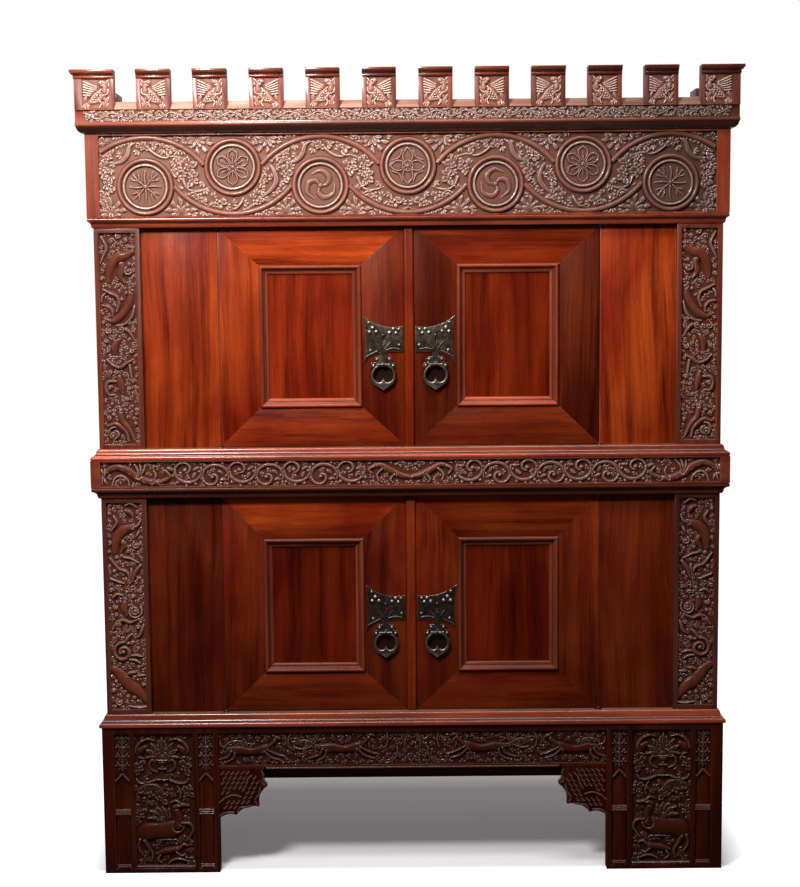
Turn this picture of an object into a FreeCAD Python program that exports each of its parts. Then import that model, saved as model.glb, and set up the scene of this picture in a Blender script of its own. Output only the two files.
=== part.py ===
import FreeCAD, Part
import math
import os

from FreeCAD import Vector

# Two-stage four-door cupboard with a crenellated crest, in millimetres.
# Origin on the floor at the middle of the plan; +X to the right, the doors face -Y, +Z up.

# Case: width across the uprights, depth from the uprights' faces to the back
CASE_WIDTH = 1580.0
CASE_DEPTH = 497.0

# Bands from the floor up
BASE_HEIGHT = 388.0
FLOOR_THICK = 33.0
LOWER_OPENING = 564.0
MIDDLE_THICK = 28.0
WAIST_HEIGHT = 70.0
UPPER_OPENING = 557.0
CEILING_THICK = 24.0
FRIEZE_HEIGHT = 206.0
CORNICE_HEIGHT = 19.0
CREST_BAND = 60.0
MERLON_HEIGHT = 55.0
CAP_HEIGHT = 21.0

# Overhangs beyond the uprights' faces, the same at the front and the ends
BASE_OUT = 13.0
BASE_MOULDING_OUT = 19.0
WAIST_OUT = 21.0
FRIEZE_OUT = 13.0
CREST_OUT = 32.0
CAP_OUT = 41.0

# Case boards
SIDE_THICK = 24.0
BACK_THICK = 14.0
BACK_PLANKS = 8
PLANK_GAP = 0.6
SHELF_THICK = 20.0
SHELF_SETBACK = 48.0
SHELF_SLACK = 0.5
CLEAT_HEIGHT = 30.0
CLEAT_THICK = 20.0
UPRIGHT_WIDTH = 115.0
UPRIGHT_THICK = 40.0
UPRIGHT_PROUD = 18.0
FLANK_WIDTH = 191.0
FLANK_THICK = 22.0
MULLION_WIDTH = 24.0
MULLION_PROUD = 7.0
MULLION_BEAD = 5.0

# Sunk fields for the carving
UPRIGHT_BORDER = 12.0
UPRIGHT_SINK = 9.0
WAIST_END_BORDER = 25.0
WAIST_BORDER = 3.5
WAIST_SINK = 8.0
FRIEZE_END_BORDER = 33.0
FRIEZE_LOW_BORDER = 4.0
FRIEZE_TOP_BORDER = 3.0
FRIEZE_SINK = 10.0
APRON_LOW_BORDER = 5.0
APRON_TOP_BORDER = 17.0
APRON_SINK = 8.0

# Frieze and waist boards
FRIEZE_THICK = 30.0
WAIST_THICK = 45.0

# Frieze roundels and vine
ROUNDELS = 7
ROUNDEL_R = 72.5
ROUNDEL_END_SHARE = 0.524
ROUNDEL_LOW_GAP = 0.5
ROUNDEL_TOP_GAP = 6.5
ROUNDEL_HEIGHT = 11.0
VINE_STEPS = 12
VINE_WIDTH = 9.0
VINE_HEIGHT = 7.0
VINE_EDGE = 5.0

# Crest
CREST_THICK = 26.0
CREST_BEAD = 2.0
CREST_BEAD_HEIGHT = 8.0
CREST_STRIP = 29.0
CREST_SINK = 5.0
SILL_HEIGHT = 20.0
MERLON_WIDTH = 84.0
CORNER_MERLON = 98.0
INNER_MERLONS = 10
SIDE_MERLONS = 3
MERLON_BORDER = 11.0
CORNER_BORDER = 20.0

# Base
FOOT_WIDTH = 299.0
FOOT_THICK = 32.0
FOOT_SINK = 10.0
FOOT_FIELD_LOW = 12.0
FOOT_FIELD_TOP = 372.0
FOOT_OUTER_MARGIN = 30.0
FOOT_INNER_MARGIN = 12.0
FOOT_STRIP = 40.0
FOOT_FILLET = 12.0
BUTTRESS_BAND_Z = 156.0
BUTTRESS_BAND = 14.0
BUTTRESS_SHOULDER_Z = 248.0
BUTTRESS_PEAK_Z = 267.0
BUTTRESS_SHAFT = 30.0
BASE_SIDE_THICK = 28.0
SIDE_ARCH_WIDTH = 190.0
SIDE_ARCH_HEIGHT = 70.0
APRON_HEIGHT = 109.0
APRON_SETBACK = 2.0
APRON_THICK = 22.0
BACKING_THICK = 22.0
BACKING_DROP = 35.0
REAR_RAIL_HEIGHT = 138.0
REAR_RAIL_THICK = 24.0

# Scalloped bracket: cusps as (distance from the foot, drop below the apron)
BRACKET_TOP = 119.0
BRACKET_CUSPS = [(127.0, 49.0), (104.0, 104.0), (45.0, 126.0), (0.0, 136.0)]
BRACKET_SCALLOP = 0.16

# Doors
DOOR_THICK = 26.0
DOOR_GAP = 1.0
DOOR_END_GAP = 2.0
HINGE_STILE = 104.0
LOCK_STILE = 108.0
UPPER_TOP_RAIL = 94.0
UPPER_BOTTOM_RAIL = 99.0
LOWER_TOP_RAIL = 109.0
LOWER_BOTTOM_RAIL = 101.0
PANEL_RECESS = 8.0
PANEL_THICK = 9.0
PANEL_TONGUE = 8.0
PANEL_SLACK = 0.2
MOULDING_WIDTH = 23.0
MOULDING_LAP = 4.0
MOULDING_PROUD = 7.0

# Pivot hinges
HINGE_PROUD = 6.0
PIN_R = 3.0
PIN_FIT = 0.05
EYE_R = 5.4
EYE_SIDES = 8
LEAF_THICK = 4.0
LEAF_LENGTH = 50.0
LEAF_WIDTH = 16.0
LEAF_INSET = 4.0
NECK_WIDTH = 5.0
PLATE_THICK = 4.0
PLATE_HALF = 8.0
PLATE_LENGTH = 34.0
COLLAR_GAP = 0.2

# Locks and ring pulls; the lock's height is taken from the foot of its door
UPPER_LOCK_HEIGHT = 270.0
LOWER_LOCK_HEIGHT = 268.0
LOCK_PLATE_THICK = 3.0
LOCK_PLATE_WIDTH = 101.0
LOCK_PLATE_MARGIN = 3.0
LOCK_PLATE_SHORT = 33.0
LOCK_PLATE_HORN = 61.0
LOCK_PLATE_STEM = 8.0
LOCK_PLATE_HOLLOW = 0.12
LOCK_PLATE_SIDE = 0.05
LOCK_PLATE_FOOT = 0.04
KEYHOLE_R = 3.2
KEYHOLE_SLOT = 12.0
KEYHOLE_MOUTH = 60.0
LOCK_LEAF = [
    (6.0, 44.0), (19.0, 44.0), (25.0, 53.0), (18.0, 57.0),
    (30.0, 60.0), (33.0, 70.0), (22.0, 76.0), (6.0, 69.0),
]
LOCK_CASE_LENGTH = 78.0
LOCK_CASE_HALF = 36.0
LOCK_CASE_THICK = 14.0
BOLT_LENGTH = 50.0
BOLT_THICK = 8.4
BOLT_HALF = 9.7
BOLT_CLEAR = 0.3
BOLT_SETBACK = 0.4
BOLT_THROW = 8.0
RING_R = 31.0
RING_BAND = 5.0
RING_THICK = 7.0
RING_POINT = 6.0
RING_CUSP = 12.0
RING_SHOULDER = 45.0
RING_LOBE = 60.0
RING_STEPS = 18
RING_DROP = 63.5
RING_STAND = 10.0
RING_PIVOT_R = 2.6
RING_PIVOT_LENGTH = 20.0
RING_KNUCKLE = 4.0
LUG_THICK = 7.0
LUG_R = 6.5
ROUND_STEPS = 6

# Bulge of a quarter circle as sagitta over chord
QUARTER = 0.2071

# Planes and levels that follow from the sizes above
HALF = CASE_WIDTH / 2
FRONT = (CAP_OUT - CASE_DEPTH) / 2
BACK = FRONT + CASE_DEPTH
REAR = BACK - BACK_THICK
FACE = FRONT + UPRIGHT_PROUD
BEHIND_FLANK = FRONT + UPRIGHT_THICK
FLOOR_Z = BASE_HEIGHT + FLOOR_THICK
LOWER_TOP_Z = FLOOR_Z + LOWER_OPENING
WAIST_Z = LOWER_TOP_Z + MIDDLE_THICK
WAIST_TOP_Z = WAIST_Z + WAIST_HEIGHT
UPPER_FLOOR_Z = WAIST_TOP_Z + MIDDLE_THICK
UPPER_TOP_Z = UPPER_FLOOR_Z + UPPER_OPENING
FRIEZE_Z = UPPER_TOP_Z + CEILING_THICK
FRIEZE_TOP_Z = FRIEZE_Z + FRIEZE_HEIGHT
CREST_Z = FRIEZE_TOP_Z + CORNICE_HEIGHT
SILL_Z = CREST_Z + CREST_BAND
CAP_Z = SILL_Z + MERLON_HEIGHT
UPRIGHT_INNER = HALF - UPRIGHT_WIDTH
FLANK_INNER = UPRIGHT_INNER - FLANK_WIDTH
DOOR_INNER = MULLION_WIDTH / 2 + DOOR_GAP
DOOR_OUTER = FLANK_INNER - DOOR_GAP
HINGE_X = (DOOR_OUTER + FLANK_INNER) / 2
HINGE_Y = FACE - HINGE_PROUD
DOOR_BACK = FACE + DOOR_THICK
LOCK_MID_Y = DOOR_BACK - LOCK_CASE_THICK / 2
PLATE_X = DOOR_INNER + LOCK_PLATE_MARGIN
RING_X = PLATE_X + LOCK_PLATE_WIDTH / 2
RING_Y = FACE - RING_STAND

# Each stage: name, floor of its opening, top of its opening, rails and lock height
STAGES = [
    ("lower", FLOOR_Z, LOWER_TOP_Z, LOWER_BOTTOM_RAIL, LOWER_TOP_RAIL, LOWER_LOCK_HEIGHT),
    ("upper", UPPER_FLOOR_Z, UPPER_TOP_Z, UPPER_BOTTOM_RAIL, UPPER_TOP_RAIL, UPPER_LOCK_HEIGHT),
]

# Moulding sections as shares of their own projection and height, from the seat outwards and up
STEPPED = [
    (0.0, 0.0), (0.86, 0.0), (0.98, 0.10), (0.98, 0.26), (0.86, 0.36), (0.70, 0.40), (0.36, 0.72, QUARTER),
    (0.36, 0.80), (0.10, 1.0), (0.0, 1.0),
]
COVE = [
    (0.0, 0.0), (FRIEZE_OUT / CREST_OUT, 0.0), (0.90, 0.76), (0.94, 0.82), (0.94, 1.0), (0.0, 1.0),
]
PANEL_EDGE = [(0.0, 0.0), (0.08, 0.75), (0.22, 1.0), (0.40, 1.0), (0.46, 0.65), (0.66, 0.65), (0.78, 0.2)]
ROUNDEL = [(0.0, 0.0), (1.0, 0.0), (1.0, 0.5), (0.93, 1.0), (0.80, 0.35), (0.0, 0.35)]
CAP = [
    (0.0, 0.0), (0.22, 0.0), (0.34, 0.08), (0.34, 0.24), (0.22, 0.32), (0.46, 0.48), (0.78, 0.66),
    (1.0, 0.72), (1.0, 1.0), (0.0, 1.0),
]


def box(x0, x1, y0, y1, z0, z1):
    return Part.makeBox(x1 - x0, y1 - y0, z1 - z0, Vector(x0, y0, z0))


def rod(start, direction, radius, length):
    return Part.makeCylinder(radius, length, start, direction)


def mirrored(shape):
    return shape.mirror(Vector(0, 0, 0), Vector(1, 0, 0))


def pair(shape):
    return [mirrored(shape), shape]


def save(node, solids):
    shape = solids[0] if len(solids) == 1 else Part.makeCompound(solids)
    shape.exportStep("parts/" + node + ".step")


def outline_face(points, place):
    """Closed outline; a point's third value bulges the edge that leads to it, left of travel positive."""
    edges = []
    a0, b0 = points[-1][:2]
    for point in points:
        a1, b1 = point[:2]
        if len(point) == 3:
            mid_a = (a0 + a1) / 2 - point[2] * (b1 - b0)
            mid_b = (b0 + b1) / 2 + point[2] * (a1 - a0)
            edges.append(Part.Arc(place(a0, b0), place(mid_a, mid_b), place(a1, b1)).toShape())
        else:
            edges.append(Part.LineSegment(place(a0, b0), place(a1, b1)).toShape())
        a0, b0 = a1, b1
    return Part.Face(Part.Wire(edges))


def arc_points(a, b, radius, start, end, steps):
    """Points along an arc about a, b between two angles in degrees."""
    points = []
    for step in range(steps + 1):
        turn = math.radians(start + (end - start) * step / steps)
        points.append((a + radius * math.cos(turn), b + radius * math.sin(turn)))
    return points


def upright_prism(points, y0, y1):
    """Outline drawn in X and Z, given thickness along Y."""
    return outline_face(points, lambda x, z: Vector(x, y0, z)).extrude(Vector(0, y1 - y0, 0))


def plan_prism(points, z0, z1):
    """Outline drawn in X and Y, given height along Z."""
    return outline_face(points, lambda x, y: Vector(x, y, z0)).extrude(Vector(0, 0, z1 - z0))


def section(shares, out, z0, height, seat=0.0):
    """Moulding section from its shares; seat is how far it reaches back behind its face."""
    points = []
    for share in shares:
        projection = share[0] * out if share[0] > 0 else -seat
        points.append((projection, z0 + share[1] * height) + tuple(share[2:]))
    return points


def turned_over(shares):
    """The same section with its top at the bottom."""
    flipped = []
    for index, share in enumerate(shares):
        bulge = shares[(index + 1) % len(shares)][2:]
        flipped.append((share[0], 1.0 - share[1]) + tuple(bulge))
    return flipped[::-1]


def run_along_x(points, x0, x1, face):
    return outline_face(points, lambda p, z: Vector(x0, face - p, z)).extrude(Vector(x1 - x0, 0, 0))


def run_along_y(points, y0, y1, face):
    return outline_face(points, lambda p, z: Vector(face + p, y0, z)).extrude(Vector(0, y1 - y0, 0))


def reach_of(points):
    return max(point[0] for point in points) + MOULDING_WIDTH


def surround(points, z0, z1):
    """Moulding planted round the front and both ends of the case, mitred at the front corners."""
    reach = reach_of(points)
    mitre = [(-HALF, FRONT), (HALF, FRONT), (HALF + reach, FRONT - reach), (-HALF - reach, FRONT - reach)]
    front = run_along_x(points, -HALF - reach, HALF + reach, FRONT).common(plan_prism(mitre, z0, z1))
    mitre = [(HALF, FRONT), (HALF + reach, FRONT - reach), (HALF + reach, REAR), (HALF, REAR)]
    side = run_along_y(points, FRONT - reach, REAR, HALF).common(plan_prism(mitre, z0, z1))
    return [front.Solids[0]] + pair(side.Solids[0])


def three_boards(out, thick, z0, z1):
    """A front board with plain end boards butted behind it; the front one is first."""
    front = box(-HALF - out, HALF + out, FRONT - out, FRONT - out + thick, z0, z1)
    side = box(HALF + out - thick, HALF + out, FRONT - out + thick, REAR, z0, z1)
    return front, pair(side)


def make_foot():
    outer = HALF + BASE_OUT
    inner = outer - FOOT_WIDTH
    face = FRONT - BASE_OUT
    ground = face + FOOT_SINK
    foot = box(inner, outer, face, face + FOOT_THICK, 0, BASE_HEIGHT)
    outer_strip = (outer - FOOT_OUTER_MARGIN - FOOT_STRIP, outer - FOOT_OUTER_MARGIN)
    inner_strip = (inner + FOOT_INNER_MARGIN, inner + FOOT_INNER_MARGIN + FOOT_STRIP)
    middle = (inner_strip[1] + FOOT_FILLET, outer_strip[0] - FOOT_FILLET)
    for x0, x1 in (outer_strip, inner_strip, middle):
        foot = foot.cut(box(x0, x1, face, ground, FOOT_FIELD_LOW, FOOT_FIELD_TOP))
    for x0, x1 in (outer_strip, inner_strip):
        foot = foot.fuse(make_buttress((x0 + x1) / 2, face, ground))
    return foot.removeSplitter()


def make_buttress(middle, face, ground):
    """Pinnacled buttress: a wide lower shaft, a band, and a gabled upper shaft."""
    wide = FOOT_STRIP / 2
    slim = BUTTRESS_SHAFT / 2
    step = (face + ground) / 2
    lower = box(middle - slim, middle + slim, face, ground, FOOT_FIELD_LOW, BUTTRESS_BAND_Z)
    band_top = BUTTRESS_BAND_Z + BUTTRESS_BAND
    band = box(middle - wide, middle + wide, face, ground, BUTTRESS_BAND_Z, band_top)
    gable = [
        (middle - slim, band_top), (middle + slim, band_top), (middle + slim, BUTTRESS_SHOULDER_Z),
        (middle, BUTTRESS_PEAK_Z), (middle - slim, BUTTRESS_SHOULDER_Z),
    ]
    return lower.fuse(band).fuse(upright_prism(gable, step, ground))


def make_base_side():
    outer = HALF + BASE_OUT
    front = FRONT - BASE_OUT + FOOT_THICK
    middle = (front + REAR) / 2
    arch = SIDE_ARCH_WIDTH / 2
    points = [
        (front, 0), (middle - arch, 0), (middle + arch, 0, SIDE_ARCH_HEIGHT / SIDE_ARCH_WIDTH),
        (REAR, 0), (REAR, BASE_HEIGHT), (front, BASE_HEIGHT),
    ]
    inner_face = outline_face(points, lambda y, z: Vector(outer - BASE_SIDE_THICK, y, z))
    return inner_face.extrude(Vector(BASE_SIDE_THICK, 0, 0))


def make_apron():
    inner = HALF + BASE_OUT - FOOT_WIDTH
    face = FRONT - BASE_OUT + APRON_SETBACK
    low = BASE_HEIGHT - APRON_HEIGHT
    board = box(-inner, inner, face, face + APRON_THICK, low, BASE_HEIGHT)
    high = BASE_HEIGHT - APRON_TOP_BORDER
    field = box(-inner, inner, face, face + APRON_SINK, low + APRON_LOW_BORDER, high)
    return board.cut(field)


def make_backing_rail():
    inner = HALF + BASE_OUT - FOOT_WIDTH
    face = FRONT - BASE_OUT + APRON_SETBACK + APRON_THICK
    low = BASE_HEIGHT - APRON_HEIGHT - BACKING_DROP
    return box(-inner, inner, face, face + BACKING_THICK, low, BASE_HEIGHT)


def make_bracket():
    inner = HALF + BASE_OUT - FOOT_WIDTH
    face = FRONT - BASE_OUT + APRON_SETBACK
    top = BASE_HEIGHT - APRON_HEIGHT
    points = [(inner, top), (inner - BRACKET_TOP, top)]
    for away, drop in BRACKET_CUSPS:
        points.append((inner - away, top - drop, BRACKET_SCALLOP))
    return upright_prism(points, face, face + APRON_THICK)


def make_rear_rail():
    inner = HALF + BASE_OUT - BASE_SIDE_THICK
    return box(-inner, inner, REAR - REAR_RAIL_THICK, REAR, BASE_HEIGHT - REAR_RAIL_HEIGHT, BASE_HEIGHT)


def make_upright(z0, z1):
    block = box(UPRIGHT_INNER, HALF, FRONT, BEHIND_FLANK, z0, z1)
    field = box(
        UPRIGHT_INNER + UPRIGHT_BORDER, HALF - UPRIGHT_BORDER, FRONT, FRONT + UPRIGHT_SINK,
        z0 + UPRIGHT_BORDER, z1 - UPRIGHT_BORDER,
    )
    return block.cut(field)


def make_flank(z0, z1):
    return box(FLANK_INNER, UPRIGHT_INNER, FACE, FACE + FLANK_THICK, z0, z1)


def make_case_side(z0, z1):
    return box(HALF - SIDE_THICK, HALF, BEHIND_FLANK, REAR, z0, z1)


def make_case_board(z0, z1):
    return box(-HALF, HALF, FRONT, REAR, z0, z1)


def make_back():
    width = (CASE_WIDTH - PLANK_GAP * (BACK_PLANKS - 1)) / BACK_PLANKS
    planks = []
    for index in range(BACK_PLANKS):
        x0 = -HALF + index * (width + PLANK_GAP)
        planks.append(box(x0, x0 + width, REAR, BACK, BASE_HEIGHT, FRIEZE_TOP_Z))
    return planks


def shelf_level(z0, z1):
    return (z0 + z1) / 2


def make_shelf(z0, z1):
    level = shelf_level(z0, z1)
    end = HALF - SIDE_THICK - SHELF_SLACK
    return box(-end, end, FACE + SHELF_SETBACK, REAR, level, level + SHELF_THICK)


def make_cleat(z0, z1):
    level = shelf_level(z0, z1)
    wall = HALF - SIDE_THICK
    return box(wall - CLEAT_THICK, wall, FACE + SHELF_SETBACK, REAR, level - CLEAT_HEIGHT, level)


def make_mullion(z0, z1, lock_z):
    """Fixed strip between the doors, beaded at the front, with a mortise each side for the bolts."""
    half = MULLION_WIDTH / 2
    front = FACE - MULLION_PROUD
    plan = [
        (-half, DOOR_BACK), (-half, front + MULLION_BEAD), (-half + MULLION_BEAD, front, -QUARTER),
        (half - MULLION_BEAD, front), (half, front + MULLION_BEAD, -QUARTER), (half, DOOR_BACK),
    ]
    strip = plan_prism(plan, z0, z1)
    room = 2 * BOLT_CLEAR
    depth = BOLT_THROW + room
    y0 = LOCK_MID_Y - BOLT_THICK / 2 - room
    y1 = LOCK_MID_Y + BOLT_THICK / 2 + room
    mortise = box(half - depth, half, y0, y1, lock_z - BOLT_HALF - room, lock_z + BOLT_HALF + room)
    for cut in pair(mortise):
        strip = strip.cut(cut)
    return strip


def make_waist():
    front, sides = three_boards(WAIST_OUT, WAIST_THICK, WAIST_Z, WAIST_TOP_Z)
    end = HALF + WAIST_OUT - WAIST_END_BORDER
    face = FRONT - WAIST_OUT
    field = box(-end, end, face, face + WAIST_SINK, WAIST_Z + WAIST_BORDER, WAIST_TOP_Z - WAIST_BORDER)
    return [front.cut(field)] + sides


def frieze_field():
    """Room sunk into the frieze board."""
    end = HALF + FRIEZE_OUT - FRIEZE_END_BORDER
    face = FRONT - FRIEZE_OUT
    low = FRIEZE_Z + FRIEZE_LOW_BORDER
    return box(-end, end, face, face + FRIEZE_SINK, low, FRIEZE_TOP_Z - FRIEZE_TOP_BORDER)


def make_frieze():
    front, sides = three_boards(FRIEZE_OUT, FRIEZE_THICK, FRIEZE_Z, FRIEZE_TOP_Z)
    return [front.cut(frieze_field())] + sides


def roundel_centres():
    """Centres in X and Z from left to right, low and high in turn."""
    field = CASE_WIDTH + 2 * FRIEZE_OUT - 2 * FRIEZE_END_BORDER
    pitch = field / (ROUNDELS - 1 + 2 * ROUNDEL_END_SHARE)
    first = -pitch * (ROUNDELS - 1) / 2
    low = FRIEZE_Z + FRIEZE_LOW_BORDER + ROUNDEL_R + ROUNDEL_LOW_GAP
    high = FRIEZE_TOP_Z - FRIEZE_TOP_BORDER - ROUNDEL_R - ROUNDEL_TOP_GAP
    centres = []
    for index in range(ROUNDELS):
        centres.append((first + index * pitch, low if index % 2 == 0 else high))
    return centres


def make_roundel(x, z):
    """Turned disc with a raised rim round a dished middle, seated on the sunk ground."""
    ground = FRONT - FRIEZE_OUT + FRIEZE_SINK
    points = [(across * ROUNDEL_R, high * ROUNDEL_HEIGHT) for across, high in ROUNDEL]
    half_section = outline_face(points, lambda r, h: Vector(x + r, ground - h, z))
    return half_section.revolve(Vector(x, 0, z), Vector(0, 1, 0), 360)


def arc_band(x, z, radius, start, end):
    """Flat stem in short lengths along an arc about x, z between two angles in degrees."""
    ground = FRONT - FRIEZE_OUT + FRIEZE_SINK
    outer = arc_points(x, z, radius + VINE_WIDTH / 2, start, end, VINE_STEPS)
    inner = arc_points(x, z, radius - VINE_WIDTH / 2, end, start, VINE_STEPS)
    return upright_prism(outer + inner, ground - VINE_HEIGHT, ground)


def make_vines(centres):
    """Stems that arch over each low roundel and sag under each high one, between their neighbours' flanks."""
    low_z = centres[0][1]
    run = centres[1][0] - centres[0][0] - ROUNDEL_R
    sunk = FRIEZE_Z + FRIEZE_LOW_BORDER + VINE_EDGE
    crown = FRIEZE_TOP_Z - FRIEZE_TOP_BORDER - VINE_EDGE
    rise = low_z - sunk
    radius = (run * run + rise * rise) / (2 * rise)
    turn = math.degrees(math.asin(run / radius))
    clear = Part.makeCompound([clear_disc(x, z) for x, z in centres])
    stems = []
    for index, centre in enumerate(centres):
        x = centre[0]
        if index % 2 == 0:
            stem = arc_band(x, crown - radius, radius, 90 + turn, 90 - turn)
        else:
            stem = arc_band(x, sunk + radius, radius, 270 + turn, 270 - turn)
        stems.append(stem.cut(clear).common(frieze_field()).Solids[0])
    return stems


def clear_disc(x, z):
    """Room round a roundel, so that a stem stops at its rim."""
    ground = FRONT - FRIEZE_OUT + FRIEZE_SINK
    return rod(Vector(x, ground, z), Vector(0, -1, 0), ROUNDEL_R, ROUNDEL_HEIGHT)


def merlon_spans():
    """Left and right edges of the front merlons, the corner ones first and last."""
    half = HALF + CREST_OUT
    inner = half - CORNER_MERLON
    gap = (2 * inner - INNER_MERLONS * MERLON_WIDTH) / (INNER_MERLONS + 1)
    spans = [(-half, -inner)]
    for index in range(INNER_MERLONS):
        x0 = -inner + gap + index * (MERLON_WIDTH + gap)
        spans.append((x0, x0 + MERLON_WIDTH))
    spans.append((inner, half))
    return spans


def side_spans():
    """Front and back edges of the merlons along an end, after the corner one."""
    start = FRONT - CREST_OUT + CORNER_MERLON
    gap = (REAR - start - SIDE_MERLONS * MERLON_WIDTH) / SIDE_MERLONS
    spans = []
    for index in range(SIDE_MERLONS):
        y0 = start + gap + index * (MERLON_WIDTH + gap)
        spans.append((y0, y0 + MERLON_WIDTH))
    return spans


def crest_section():
    """Rail under the merlons: a rounded bead at its foot and a sloped sill between merlons."""
    bead_top = CREST_Z + CREST_BEAD_HEIGHT
    return [
        (-CREST_THICK, CREST_Z), (0, CREST_Z), (0, bead_top - CREST_BEAD), (-CREST_BEAD, bead_top, QUARTER),
        (-CREST_BEAD, SILL_Z - SILL_HEIGHT), (-CREST_BEAD - SILL_HEIGHT, SILL_Z), (-CREST_THICK, SILL_Z),
    ]


def make_front_crest():
    """Rail with its sunk strip, then the merlons that stand on it, each with a sunk field."""
    half = HALF + CREST_OUT
    face = FRONT - CREST_OUT
    merlon_face = face + CREST_BEAD
    rail_top = SILL_Z - SILL_HEIGHT
    strip_z = CREST_Z + CREST_BEAD_HEIGHT + CREST_BEAD
    strip_end = half - CORNER_BORDER
    strip = box(-strip_end, strip_end, merlon_face, merlon_face + CREST_SINK, strip_z, strip_z + CREST_STRIP)
    rail = run_along_x(crest_section(), -half, half, face)
    merlons = []
    for x0, x1 in merlon_spans():
        left = CORNER_BORDER if x0 == -half else MERLON_BORDER
        right = CORNER_BORDER if x1 == half else MERLON_BORDER
        merlon = box(x0, x1, merlon_face, face + CREST_THICK, rail_top, CAP_Z).cut(rail)
        field = box(x0 + left, x1 - right, merlon_face, merlon_face + CREST_SINK, rail_top, CAP_Z)
        merlons.append(merlon.cut(field).Solids[0])
    return [rail.cut(strip)] + merlons


def make_side_crest():
    """Rail along an end with its merlons, the first one backing the corner merlon."""
    face = HALF + CREST_OUT
    start = FRONT - CREST_OUT + CREST_THICK
    rail_top = SILL_Z - SILL_HEIGHT
    rail = run_along_y(crest_section(), start, REAR, face)
    pieces = [rail]
    for y0, y1 in [(start, FRONT - CREST_OUT + CORNER_MERLON)] + side_spans():
        merlon = box(face - CREST_THICK, face - CREST_BEAD, y0, y1, rail_top, CAP_Z)
        pieces.append(merlon.cut(rail).Solids[0])
    return pieces


def make_caps():
    """Moulded caps: one on each merlon, mitred round the two front corners."""
    over = CAP_OUT - CREST_OUT + CREST_BEAD
    face = FRONT - CREST_OUT + CREST_BEAD
    side = HALF + CREST_OUT - CREST_BEAD
    seat = CREST_THICK - CREST_BEAD
    points = section(CAP, over, CAP_Z, CAP_HEIGHT, seat)
    top = CAP_Z + CAP_HEIGHT
    caps = []
    for x0, x1 in merlon_spans()[1:-1]:
        caps.append(run_along_x(points, x0, x1, face))
    for y0, y1 in side_spans():
        caps.extend(pair(run_along_y(points, y0, y1, side)))
    inner_x = HALF + CREST_OUT - CORNER_MERLON
    inner_y = FRONT - CREST_OUT + CORNER_MERLON
    corner = (side - seat, face + seat)
    tip = (side + over, face - over)
    front_plan = [(inner_x, corner[1]), corner, tip, (inner_x, tip[1])]
    side_plan = [corner, (corner[0], inner_y), (tip[0], inner_y), tip]
    front = run_along_x(points, inner_x, tip[0], face).common(plan_prism(front_plan, CAP_Z, top))
    end = run_along_y(points, tip[1], inner_y, side).common(plan_prism(side_plan, CAP_Z, top))
    caps.extend(pair(front.Solids[0]))
    caps.extend(pair(end.Solids[0]))
    return caps


def forged_eye(z0, z1):
    """Eight-sided boss round the hinge line."""
    half = 180 / EYE_SIDES
    return plan_prism(arc_points(HINGE_X, HINGE_Y, EYE_R, half, 360 - half, EYE_SIDES - 1), z0, z1)


def plate_block(board_z, up):
    """Flat part of the fixed hinge plate, let into a board."""
    y0 = HINGE_Y - PLATE_HALF
    z0 = board_z - PLATE_THICK if up > 0 else board_z
    return box(HINGE_X - PLATE_HALF, HINGE_X + PLATE_HALF, y0, y0 + PLATE_LENGTH, z0, z0 + PLATE_THICK)


def hinge_plate(board_z, up):
    """Fixed half of a pivot hinge: a plate let into a board, with a collar and a pin."""
    collar = forged_eye(board_z, board_z + up * (DOOR_END_GAP - COLLAR_GAP))
    pin = rod(Vector(HINGE_X, HINGE_Y, board_z), Vector(0, 0, up), PIN_R, DOOR_END_GAP + LEAF_THICK)
    return plate_block(board_z, up).fuse(collar).fuse(pin).removeSplitter()


def with_pockets(board, board_z, up):
    for pocket in pair(plate_block(board_z, up)):
        board = board.cut(pocket)
    return board


def leaf_plate(z0):
    """Flat part of the door's hinge leaf, with the neck that carries the eye."""
    flat = box(DOOR_OUTER - LEAF_LENGTH, DOOR_OUTER, FACE + LEAF_INSET, FACE + LEAF_INSET + LEAF_WIDTH,
               z0, z0 + LEAF_THICK)
    neck = box(DOOR_OUTER - NECK_WIDTH, DOOR_OUTER, HINGE_Y, FACE + LEAF_INSET, z0, z0 + LEAF_THICK)
    return flat.fuse(neck)


def hinge_leaf(z0):
    eye = forged_eye(z0, z0 + LEAF_THICK)
    bore = rod(Vector(HINGE_X, HINGE_Y, z0), Vector(0, 0, 1), PIN_R + PIN_FIT, LEAF_THICK)
    return leaf_plate(z0).fuse(eye).cut(bore).removeSplitter()


def make_door_frame(z0, z1, bottom_rail, top_rail, lock_z):
    """Two stiles and two rails, mitred from the corner of the door to the corner of the opening."""
    left = DOOR_INNER + LOCK_STILE + MOULDING_LAP
    right = DOOR_OUTER - HINGE_STILE - MOULDING_LAP
    low = z0 + bottom_rail + MOULDING_LAP
    high = z1 - top_rail - MOULDING_LAP
    outer = [(DOOR_INNER, z0), (DOOR_OUTER, z0), (DOOR_OUTER, z1), (DOOR_INNER, z1)]
    inner = [(left, low), (right, low), (right, high), (left, high)]
    tongue = PANEL_TONGUE + PANEL_SLACK
    groove = box(left - tongue, right + tongue, FACE + PANEL_RECESS, FACE + PANEL_RECESS + PANEL_THICK,
                 low - tongue, high + tongue)
    case = lock_case_block(lock_z)
    members = []
    for side in range(4):
        after = (side + 1) % 4
        points = [outer[side], outer[after], inner[after], inner[side]]
        member = upright_prism(points, FACE, DOOR_BACK).cut(groove)
        for pocket in (leaf_plate(z0), leaf_plate(z1 - LEAF_THICK), case):
            member = member.cut(pocket)
        members.append(member.Solids[0])
    return members


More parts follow.
